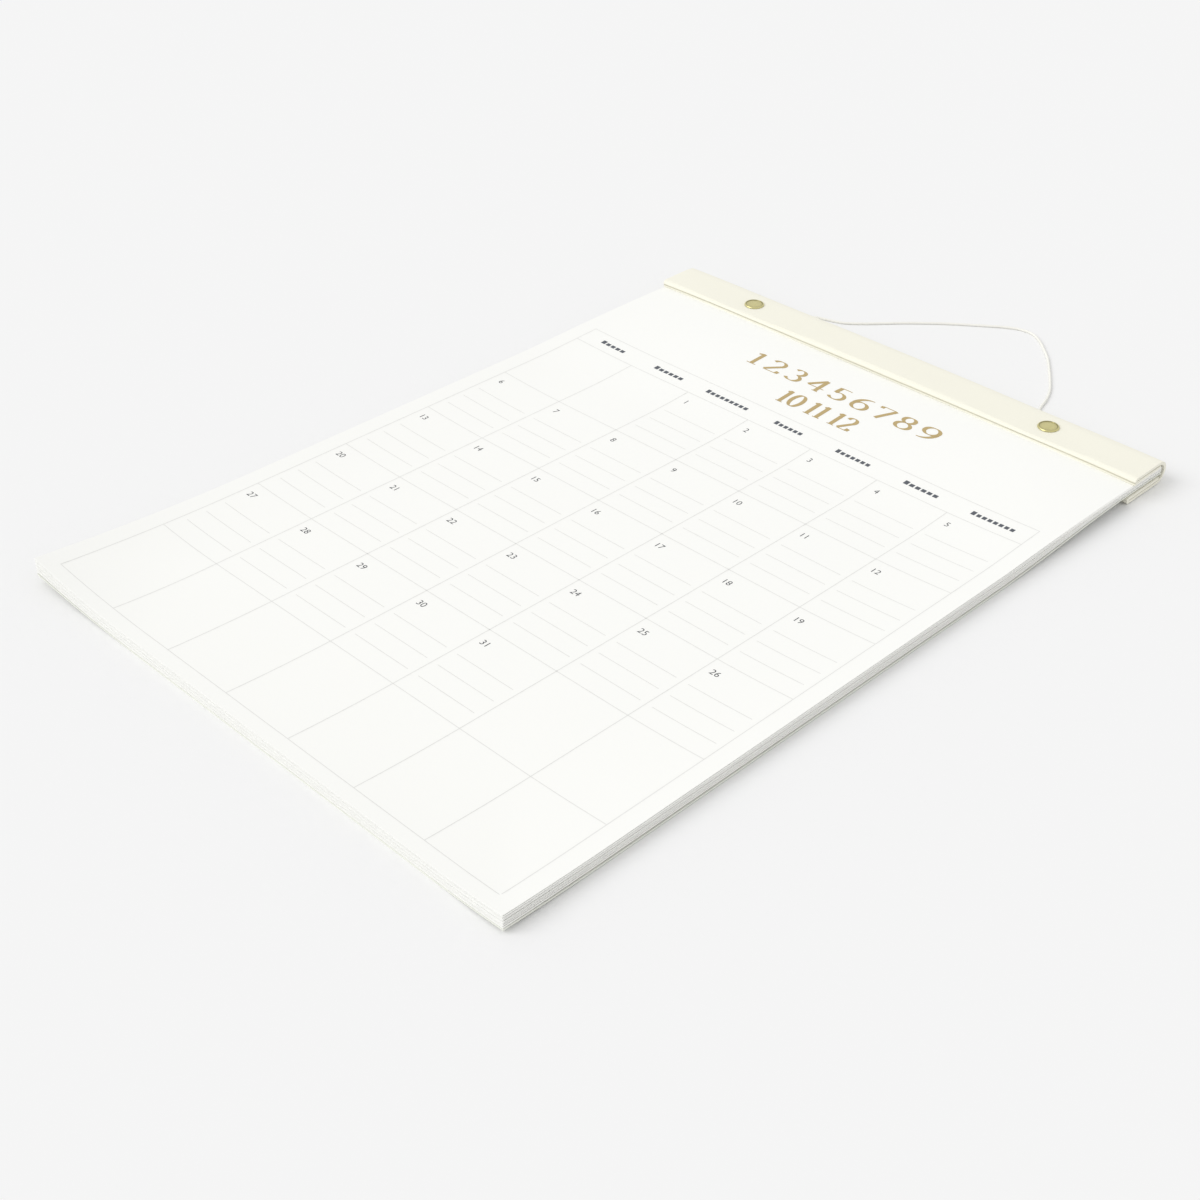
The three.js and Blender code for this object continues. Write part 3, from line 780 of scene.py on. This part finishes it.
def cloth_material(settings):
    material, nodes, links, shader = new_material("Cream cloth")
    where = nodes.new("ShaderNodeUVMap")
    where.uv_map = "Flat cut"
    weave = nodes.new("ShaderNodeGroup")
    weave.node_tree = weave_group()
    weave.inputs["Threads"].default_value = 1 / settings.thread
    links.new(where.outputs["UV"], weave.inputs["Vector"])
    # The hollows between the threads get a darker tone: painted shade
    dark = [channel * 0.955 for channel in settings.colour]
    toned(nodes, links, weave.outputs["Mask"], dark, settings.colour, shader.inputs["Base Color"])
    bumped(nodes, links, weave.outputs["Height"], 0.4, 0.1 * MM, shader)
    shader.inputs["Roughness"].default_value = 0.9
    shader.inputs["Sheen Weight"].default_value = 0.15
    # The crease above the hem's lip gets a darker tone: painted shade
    marked(material, "Crease shade", CREASE_SHADE_TONE)
    return material


def ink_material(name, colour, roughness=0.7):
    return grained(name, colour, 0.93, roughness, 2600, 160, 0.01 * MM)


def column_x(column):
    return -HALF_WIDTH + GRID_SIDE_MARGIN + column * COLUMN_WIDTH


def week_y(week):
    return GRID_FOOT_MARGIN + (WEEKS - week) * WEEK_HEIGHT


def printed_area(node):
    """Left side, width, height and middle line of a printed node, in the solids' millimetres."""
    low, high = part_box(node)
    middle_y = (low.y + high.y) / 2 / MM - FOOT_Y
    return low.x / MM, (high.x - low.x) / MM, (high.y - low.y) / MM, middle_y


def lay_print(piece, rise, material, nodes=()):
    """Lays a flat piece of print on the top sheet, a little above it, and finishes it."""
    lift(piece, lambda x, y: pad_topside(x, y) + rise)
    finish_piece(piece, material, nodes)


def stripe(left, right, foot, head):
    """A flat stripe of ink with a row of cells every few millimetres."""
    across = max(1, round((right - left) / STRIPE_CELL))
    up = max(1, round((head - foot) / STRIPE_CELL))
    return grid_piece("stripe", left, right, foot, head, across, up)


def printed_number(number, height, x, y):
    """A plain number as a flat mesh, centred on a point of the sheet."""
    deselect_all()
    bpy.ops.object.text_add(location=(0, 0, 0))
    text = bpy.context.object
    text.data.body = str(number)
    text.data.align_x = "CENTER"
    text.data.size = height / FIGURE_SHARE * MM
    text.data.offset = -DATE_THINNER * MM
    text.data.resolution_u = 4
    bpy.ops.object.convert(target="MESH")
    text = bpy.context.object
    heights = [vertex.co.y for vertex in text.data.vertices]
    middle = (min(heights) + max(heights)) / 2
    text.location = place(x, y, 0) - Vector((0, middle, 0))
    settle(text)
    return text


def arc(centre_x, centre_y, radius_x, radius_y, start, end, steps=18):
    """The middle line of a round stroke, between two angles in degrees."""
    points = []
    for k in range(steps + 1):
        angle = math.radians(start + (end - start) * k / steps)
        x, y = radius_x * math.cos(angle), radius_y * math.sin(angle)
        points.append((centre_x + x, centre_y + y))
    return points


def bar(start, end):
    """The middle line of a straight stroke, cut into six."""
    (x0, y0), (x1, y1) = start, end
    points = [(x0 + (x1 - x0) * k / 6, y0 + (y1 - y0) * k / 6) for k in range(6)]
    return [*points, end]


# The title's numerals on a body one unit high: each one's width and its strokes' middle lines
SPACE_WIDTH = 0.2
NUMERALS = {
    "0": (0.62, [arc(0.31, 0.5, 0.24, 0.47, 0, 360, 36)]),
    "1": (0.42, [bar((0.22, 0.02), (0.22, 0.98)), bar((0.06, 0.02), (0.38, 0.02)),
                 bar((0.22, 0.96), (0.06, 0.86))]),
    "2": (0.58, [arc(0.28, 0.74, 0.2, 0.23, 165, -40) + bar((0.42, 0.58), (0.07, 0.05)),
                 bar((0.06, 0.03), (0.5, 0.03)), bar((0.5, 0.03), (0.53, 0.2))]),
    "3": (0.56, [arc(0.26, 0.75, 0.18, 0.22, 150, -90), arc(0.26, 0.27, 0.22, 0.25, 90, -155)]),
    "4": (0.62, [bar((0.43, 0.02), (0.43, 0.98)), bar((0.43, 0.98), (0.05, 0.3)),
                 bar((0.05, 0.3), (0.6, 0.3)), bar((0.33, 0.02), (0.53, 0.02))]),
    "5": (0.56, [bar((0.14, 0.96), (0.47, 0.96)), bar((0.14, 0.96), (0.11, 0.52)),
                 arc(0.26, 0.31, 0.23, 0.28, 130, -150)]),
    "6": (0.6, [arc(0.3, 0.31, 0.23, 0.28, 0, 360, 30), arc(0.5, 0.36, 0.43, 0.6, 175, 88)]),
    "7": (0.54, [bar((0.05, 0.95), (0.5, 0.95)), bar((0.5, 0.95), (0.2, 0.02)),
                 bar((0.05, 0.95), (0.05, 0.8))]),
    "8": (0.58, [arc(0.29, 0.75, 0.18, 0.22, 0, 360, 28),
                 arc(0.29, 0.27, 0.22, 0.25, 0, 360, 30)]),
    "9": (0.6, [arc(0.3, 0.69, 0.23, 0.28, 0, 360, 30), arc(0.1, 0.64, 0.43, 0.6, -5, -92)]),
}


def pen_stroke(points, height, stretch, left, foot, vertices, faces):
    """A stroke that is broad where it runs upright and a hairline where it runs level."""
    closed = math.dist(points[0], points[-1]) < 1e-6
    last = len(points) - 1
    for k, (x, y) in enumerate(points):
        x0, y0 = points[k - 1] if k else (points[last - 1] if closed else points[0])
        x1, y1 = points[k + 1] if k < last else (points[1] if closed else points[last])
        run, rise = x1 - x0, y1 - y0
        length = math.hypot(run, rise)
        run, rise = run / length, rise / length
        half = (HAIRLINE + STEM_SWELL * abs(rise) ** STEM_POWER) * height
        px, py = left + x * height * stretch, foot + y * height
        vertices.append(place(px - rise * half, py + run * half, 0))
        vertices.append(place(px + rise * half, py - run * half, 0))
        if k:
            a = len(vertices) - 4
            faces.append((a + 1, a + 3, a + 2, a))


def numeral_row(name, body, height, stretch, width, middle_y):
    """A row of contrasted numerals in the middle of the sheet, spaced out to a width."""
    size = height * stretch
    marks = [NUMERALS.get(mark, (SPACE_WIDTH, [])) for mark in body]
    gap = (width - sum(advance for advance, _ in marks) * size) / max(1, len(body) - 1)
    vertices, faces = [], []
    left = -width / 2
    for advance, strokes in marks:
        for stroke in strokes:
            pen_stroke(stroke, height, stretch, left, middle_y - height / 2, vertices, faces)
        left += advance * size + gap
    return mesh_piece(name, vertices, faces)


class CALENDAR_OT_camera(bpy.types.Operator):
    """Set the camera over the calendar's foot, to the right of it"""

    bl_idname = "calendar.camera"
    bl_label = "Camera"

    def execute(self, context):
        stage = context.scene.calendar_stage
        lens = bpy.data.cameras.new("Camera")
        lens.lens = stage.lens
        lens.sensor_width = SENSOR_WIDTH
        lens.clip_start = 0.01
        lens.clip_end = 50
        camera = bpy.data.objects.new("Camera", lens)
        context.collection.objects.link(camera)
        look = Vector(CAMERA_LOOK).normalized()
        right = Vector(CAMERA_RIGHT)
        right = (right - look * right.dot(look)).normalized()
        turn = Matrix((right, right.cross(look), -look)).transposed()
        camera.matrix_world = Matrix.Translation(CAMERA_PLACE) @ turn.to_4x4()
        context.scene.camera = camera
        return {"FINISHED"}


class CALENDAR_OT_cord(bpy.types.Operator):
    """Lay the hanging cord in its loose arch and tie its two ends round the rivets"""

    bl_idname = "calendar.cord"
    bl_label = "Hanging cord"

    def execute(self, context):
        cord = context.scene.calendar_cord
        line_points = cord_line()
        material = grained("Cotton cord", cord.colour, 0.88, 0.9, 1800, 90, 0.06 * MM)
        piece = twisted_tube("cord", line_points, cord.diameter / 2, cord.twist)
        finish_piece(piece, material, ["hanging_cord"])
        for side, word in ((-1, "left"), (1, "right")):
            knot = knotted_end(side, cord, line_points)
            finish_piece(knot, material, [f"cord_eye_{word}"])
        return {"FINISHED"}


class CALENDAR_OT_card(bpy.types.Operator):
    """Lay the backing card, bent up to the strip and at its free corners"""

    bl_idname = "calendar.card"
    bl_label = "Backing card"

    def execute(self, context):
        paper = context.scene.calendar_paper
        card = grid_piece("card", -HALF_WIDTH, HALF_WIDTH, 0, SHEET_TOP_Y, *FINE_CELLS)
        lift(card, lambda x, y: card_underside(x, y) + CARD_THICKNESS)
        punch_holes(card)
        thicken(card, CARD_THICKNESS * MM, -1)
        soften(card)
        material = grained("White board", paper.card_colour, 0.94, 0.85, 1200, 40, 0.03 * MM)
        finish_piece(card, material, ["backing_card"])
        return {"FINISHED"}


def punch_holes(piece):
    """Takes out the cells round the two rivet posts."""
    make_active(piece)
    bpy.ops.object.mode_set(mode="EDIT")
    bpy.ops.mesh.select_mode(type="FACE")
    bpy.ops.mesh.select_all(action="DESELECT")
    bpy.ops.object.mode_set(mode="OBJECT")
    for face in piece.data.polygons:
        x, y = spot(face.center)
        face.select = max(abs(abs(x) - RIVET_X), abs(y - RIVET_Y)) < PUNCH_REACH
    if not any(face.select for face in piece.data.polygons):
        raise RuntimeError(f"{piece.name} has no cell at the rivets")
    bpy.ops.object.mode_set(mode="EDIT")
    bpy.ops.mesh.delete(type="FACE")
    bpy.ops.object.mode_set(mode="OBJECT")


class CALENDAR_OT_sheets(bpy.types.Operator):
    """Stack the pad's thin sheets, each a little out of line with the next"""

    bl_idname = "calendar.sheets"
    bl_label = "Sheets"

    def execute(self, context):
        paper = context.scene.calendar_paper
        thickness = paper.thickness / MM
        flutter = paper.flutter / MM
        sheets = []
        for k in range(paper.sheets):
            sideways = SHEET_STAGGER * math.sin(SIDE_TURN * k) * 0.5
            left = -HALF_WIDTH + SHEET_STAGGER * 0.5 + sideways
            right = HALF_WIDTH - SHEET_STAGGER * 0.5 + sideways
            foot = FOOT_STAGGER * (0.5 + 0.5 * math.cos(FOOT_TURN * k))
            is_top = k == paper.sheets - 1
            cells = FINE_CELLS if is_top else COARSE_CELLS
            sheet = grid_piece("sheet", left, right, foot, SHEET_TOP_Y, *cells)

            def height(x, y, k=k, is_top=is_top):
                top = pad_underside(x, y) + (k + 1) * sheet_pitch(x, y)
                if is_top:
                    return top
                wander = noise.noise(Vector((x / FLUTTER_LENGTH, y / FLUTTER_LENGTH, 3.7 * k)))
                top += (flutter * wander) * edge_share(x, y) * (1 - held(y))
                return top - UNDER_TOP_GAP - sag(x, y) * (1 - (k + 1) / paper.sheets)

            lift(sheet, height)
            punch_holes(sheet)
            thicken(sheet, thickness * MM, -1)
            sheets.append(sheet)
        pad = join(sheets, "sheets")
        soften(pad)
        material = grained("White paper", paper.colour, 0.985, 0.8, 2200, 18, 0.012 * MM)
        finish_piece(pad, material, ["sheet_pad"])
        return {"FINISHED"}


def press_hem(band):
    """Presses a lip along the foot of the front hem, lets it down on the top sheet, and marks the
    crease above the lip, where shade is painted onto the cloth.
    """
    crease_shade = band.data.attributes.new("Crease shade", "FLOAT", "POINT")
    for vertex in band.data.vertices:
        x, y = spot(vertex.co)
        radius = leaf_height(x) / 2
        level = vertex.co.z / MM - front_level(x)
        skin = math.hypot(y - FRONT_HEM_Y - radius, level - radius) - radius
        if y > FRONT_HEM_Y + radius or not -HEM_SKIN_INSIDE < skin < HEM_SKIN_OUTSIDE:
            continue
        share = math.exp(-(((level - LIP_HEIGHT) / CREASE_REACH) ** 2))
        crease_shade.data[vertex.index].value = share
        vertex.co.y += CREASE_DEPTH * share * MM
        if level < LIP_HEIGHT:
            vertex.co.y -= LIP_FLATTEN * (y - FRONT_HEM_Y) * MM
            vertex.co.z -= LIP_DROP * MM


class CALENDAR_OT_strip(bpy.types.Operator):
    """Fold the cloth band round the top of the pad, with both its edges hemmed in"""

    bl_idname = "calendar.strip"
    bl_label = "Cloth strip"

    def execute(self, context):
        strip = context.scene.calendar_strip
        rows = len(strip_section(0))
        across = STRIP_COLUMNS
        deselect_all()
        bpy.ops.mesh.primitive_grid_add(
            x_subdivisions=across, y_subdivisions=rows - 1, size=1, calc_uvs=True)
        band = bpy.context.object
        band.name = "strip"
        softness = strip.softness / MM
        cut = band.data.uv_layers[0]
        cut.name = "Flat cut"
        flat = {}
        for vertex in band.data.vertices:
            column = round((vertex.co.x + 0.5) * across)
            row = round((vertex.co.y + 0.5) * (rows - 1))
            x = -HALF_STRIP + 2 * HALF_STRIP * column / across
            section = strip_section(x)
            y, z, share = section[row]
            run = sum(math.dist(a[:2], b[:2]) for a, b in zip(section[:row], section[1:row + 1]))
            billow = noise.noise(Vector((x / SWELL_ACROSS, y / SWELL_ALONG, 5.0)))
            swell = softness * (billow + SWELL_BIAS) * share
            from_rivet = math.hypot(abs(x) - RIVET_X, y - RIVET_Y)
            seat = 1 - SEAT_DEPTH * math.exp(-((from_rivet / SEAT_REACH) ** 4))
            hem = 0
            if z > FRONT_LEAF_ABOVE:
                wave = HEM_WAVE * noise.noise(Vector((x / HEM_WAVE_LENGTH, 9.0, 2.0)))
                hem = wave * math.exp(-(((y - FRONT_HEM_Y) / HEM_WAVE_REACH) ** 2))
            rise = (swell + PADDING_RISE) * seat * (share > 0.9)
            vertex.co = place(x, y + hem, z + rise)
            flat[vertex.index] = (x * MM, run * MM)
        for loop in band.data.loops:
            cut.data[loop.index].uv = flat[loop.vertex_index]
        thicken(band, strip.cloth, 0)
        press_hem(band)
        face_outwards(band)
        soften(band, 50)
        finish_piece(band, cloth_material(strip), ["hanging_strip"])
        return {"FINISHED"}


class CALENDAR_OT_rivets(bpy.types.Operator):
    """Turn the two rivets: a cap with its post, and a rear cap with its socket"""

    bl_idname = "calendar.rivets"
    bl_label = "Rivets"

    def execute(self, context):
        rivets = context.scene.calendar_rivets
        rim = rivets.rim / MM
        material = brass_material(rivets)
        top = CAP_HIGH.z / MM
        seat = top - CAP_HEIGHT
        tip = CAP_LOW.z / MM
        post = POST_RADIUS
        inner = post + CLEARANCE
        outer = inner + SOCKET_WALL
        mouth = REAR_CAP_HEIGHT + SOCKET_SHARE * (seat - REAR_CAP_HEIGHT)
        edge = CAP_RADIUS
        cap = [(post, tip), (post, seat), (edge - 0.35, seat), (edge - 0.08, seat + 0.14),
               (edge, seat + 0.26), (edge - 0.04, top - 0.5), (edge - 0.16, top - 0.3),
               (edge - 0.36, top - 0.12), (edge - 0.6, top - 0.02), (edge - 0.75, top),
               (edge - rim - 0.4, top - 0.04), (edge - rim - 0.55, top - 0.26),
               (edge - rim - 0.8, top - 0.3), (2.6, top - 0.16), (0.6, top - 0.12)]
        rear = [(edge - 0.35, 0), (edge - 0.08, 0.12), (edge, 0.3), (edge, 0.5),
                (edge - 0.08, 0.68), (edge - 0.35, REAR_CAP_HEIGHT), (outer, REAR_CAP_HEIGHT),
                (outer, mouth), (inner, mouth), (inner, REAR_CAP_HEIGHT)]
        for side, word in ((-1, "left"), (1, "right")):
            middle = place(side * RIVET_X, RIVET_Y, 0)
            for name, profile, node in (("cap", cap, "rivet_cap"), ("rear", rear, "rivet_socket")):
                piece = turned(f"rivet_{name}_{word}_turned", profile, rivets.sides, middle)
                if name == "cap":
                    # The dark ring in the groove inside the rim is painted shade
                    mark_groove(piece, middle, edge - rim - GROOVE_INSIDE_RIM)
                soften(piece, 40)
                finish_piece(piece, material, [f"{node}_{word}"])
        return {"FINISHED"}


def mark_groove(cap, middle, radius):
    """Marks the groove inside a cap's rim, where shade is painted onto the brass."""
    groove_shade = cap.data.attributes.new("Groove shade", "FLOAT", "POINT")
    for vertex in cap.data.vertices:
        reach = (vertex.co - middle).xy.length / MM
        if vertex.co.z > CAP_HIGH.z - CAP_HEIGHT * MM / 2:
            groove_shade.data[vertex.index].value = math.exp(-(((reach - radius) / GROOVE_REACH) ** 2))


def brass_material(settings):
    """Plated brass with fine wear, and shade painted into the groove inside the caps' rims."""
    material = grained("Plated brass", settings.colour, 0.72, 0.34, 1400, 420, 0.03 * MM,
                       metallic=1, strength=0.4)
    marked(material, "Groove shade", GROOVE_SHADE_TONE)
    return material


class CALENDAR_OT_print(bpy.types.Operator):
    """Print the month on the top sheet: grid, writing rules, dates, headings and title"""

    bl_idname = "calendar.print"
    bl_label = "Print"

    def execute(self, context):
        ink = context.scene.calendar_print
        self.print_grid(ink)
        self.print_rules(ink)
        self.print_dates(ink)
        self.print_headings(ink)
        self.print_title(ink)
        return {"FINISHED"}

    def print_grid(self, ink):
        half = ink.line / MM / 2
        left, right = column_x(0), column_x(COLUMNS)
        stripes = []
        for level in [week_y(week) for week in range(WEEKS + 1)] + [HEADING_TOP_Y]:
            stripes.append(stripe(left - half, right + half, level - half, level + half))
        for column in range(COLUMNS + 1):
            on_frame = column in (0, COLUMNS)
            head = HEADING_TOP_Y if on_frame else GRID_TOP_Y
            x = column_x(column)
            stripes.append(stripe(x - half, x + half, GRID_FOOT_MARGIN + half, head - half))
        material = ink_material("Grid ink", ink.line_colour)
        lay_print(join(stripes, "month_grid"), INK_RISE, material, ["printed_grid"])

    def dated_cells(self, ink):
        for day in range(1, ink.days + 1):
            week, column = divmod(ink.first_column + day - 1, COLUMNS)
            yield day, column, week

    def print_rules(self, ink):
        half = ink.rule / MM / 2
        stripes = []
        for _, column, week in self.dated_cells(ink):
            left, right = column_x(column + RULE_LEFT), column_x(column + RULE_RIGHT)
            for share in RULE_SHARES:
                level = week_y(week + share)
                stripes.append(stripe(left, right, level - half, level + half))
        material = ink_material("Rule ink", ink.rule_colour)
        lay_print(join(stripes, "writing_rules"), RULE_RISE, material)

    def print_dates(self, ink):
        height = ink.date_height / MM
        numbers = []
        for day, column, week in self.dated_cells(ink):
            x, y = column_x(column + DATE_PLACE), week_y(week + DATE_PLACE)
            numbers.append(printed_number(day, height, x, y))
        material = ink_material("Date ink", ink.date_colour)
        lay_print(join(numbers, "dates"), INK_RISE, material)

    def print_headings(self, ink):
        nodes = [f"printed_heading_{column + 1}" for column in range(COLUMNS)]
        marks = []
        for node in nodes:
            left, width, _, middle_y = printed_area(node)
            count = max(2, round((width + BLOCK_GAP) / BLOCK_PITCH))
            pitch = (width + BLOCK_GAP) / count
            for k in range(count):
                head = middle_y + (BLOCK_RISE if k else FIRST_BLOCK_RISE)
                marks.append(stripe(left, left + pitch - BLOCK_GAP, middle_y - BLOCK_DROP, head))
                left += pitch
        material = ink_material("Heading ink", ink.heading_colour)
        lay_print(join(marks, "headings"), INK_RISE, material, nodes)

    def print_title(self, ink):
        material = ink_material("Title ink", ink.title_colour, 0.5)
        for word, body, stretch in (("upper", "123456789", 1.5), ("lower", "10 11 12", 1.05)):
            node = f"printed_title_{word}"
            _, width, height, middle_y = printed_area(node)
            row = numeral_row(f"title_{word}", body, height, stretch, width, middle_y)
            lay_print(row, INK_RISE, material, [node])


class CALENDAR_OT_stage(bpy.types.Operator):
    """Lay the pale floor and light it softly from the left"""

    bl_idname = "calendar.stage"
    bl_label = "Stage"

    def execute(self, context):
        stage = context.scene.calendar_stage
        deselect_all()
        bpy.ops.mesh.primitive_plane_add(size=FLOOR_SIZE, location=(0, 0, -FLOOR_DROP * MM))
        floor = bpy.context.object
        floor.name = "floor"
        material, _, _, shader = new_material("Pale floor")
        shader.inputs["Base Color"].default_value = (*stage.floor_colour, 1)
        shader.inputs["Roughness"].default_value = 1
        shader.inputs["Specular IOR Level"].default_value = 0
        floor.data.materials.append(material)

        world = bpy.data.worlds.new("Studio")
        context.scene.world = world
        world.use_nodes = True
        nodes, links = world.node_tree.nodes, world.node_tree.links
        sky = next(n for n in nodes if n.type == "BACKGROUND")
        backdrop = nodes.new("ShaderNodeBackground")
        for light, strength in ((sky, stage.sky), (backdrop, stage.backdrop)):
            light.inputs["Color"].default_value = (1, 1, 1, 1)
            light.inputs["Strength"].default_value = strength
        ray = nodes.new("ShaderNodeLightPath")
        seen = nodes.new("ShaderNodeMath")
        seen.operation = "MAXIMUM"
        links.new(ray.outputs["Is Camera Ray"], seen.inputs[0])
        links.new(ray.outputs["Is Glossy Ray"], seen.inputs[1])
        either = nodes.new("ShaderNodeMixShader")
        links.new(seen.outputs[0], either.inputs["Fac"])
        links.new(sky.outputs[0], either.inputs[1])
        links.new(backdrop.outputs[0], either.inputs[2])
        output = next(n for n in nodes if n.type == "OUTPUT_WORLD")
        links.new(either.outputs[0], output.inputs["Surface"])

        lamp = bpy.data.lights.new("Key", "SUN")
        lamp.energy = stage.key
        lamp.angle = math.radians(KEY_ANGLE)
        key = bpy.data.objects.new("Key", lamp)
        context.collection.objects.link(key)
        key.rotation_euler = Vector(KEY_FROM).to_track_quat("Z", "Y").to_euler()
        context.scene.view_settings.view_transform = "Standard"
        return {"FINISHED"}


OPERATORS = (
    CALENDAR_OT_camera, CALENDAR_OT_cord, CALENDAR_OT_card, CALENDAR_OT_sheets,
    CALENDAR_OT_strip, CALENDAR_OT_rivets, CALENDAR_OT_print, CALENDAR_OT_stage,
)


class CALENDAR_PT_panel(bpy.types.Panel):
    """Settings and steps of the wall calendar"""

    bl_label = "Wall Calendar"
    bl_idname = "CALENDAR_PT_panel"
    bl_space_type = "VIEW_3D"
    bl_region_type = "UI"
    bl_category = "Calendar"

    def draw(self, context):
        for name, group in SETTINGS.items():
            settings = getattr(context.scene, name)
            box = self.layout.box()
            for prop in group.__annotations__:
                box.prop(settings, prop)
        for operator in OPERATORS:
            self.layout.operator(operator.bl_idname)


SETTINGS = {
    "calendar_paper": CalendarPaper,
    "calendar_strip": CalendarStrip,
    "calendar_rivets": CalendarRivets,
    "calendar_cord": CalendarCord,
    "calendar_print": CalendarPrint,
    "calendar_stage": CalendarStage,
}


def register():
    for group in SETTINGS.values():
        bpy.utils.register_class(group)
    for name, group in SETTINGS.items():
        setattr(bpy.types.Scene, name, bpy.props.PointerProperty(type=group))
    for operator in OPERATORS:
        bpy.utils.register_class(operator)
    bpy.utils.register_class(CALENDAR_PT_panel)


def unregister():
    bpy.utils.unregister_class(CALENDAR_PT_panel)
    for operator in reversed(OPERATORS):
        bpy.utils.unregister_class(operator)
    for name in SETTINGS:
        delattr(bpy.types.Scene, name)
    for group in reversed(list(SETTINGS.values())):
        bpy.utils.unregister_class(group)


def main():
    register()
    bpy.ops.calendar.camera()
    bpy.ops.calendar.cord()
    bpy.ops.calendar.card()
    bpy.ops.calendar.sheets()
    bpy.ops.calendar.strip()
    bpy.ops.calendar.rivets()
    bpy.ops.calendar.print()
    bpy.ops.calendar.stage()


if __name__ == "__main__":
    main()
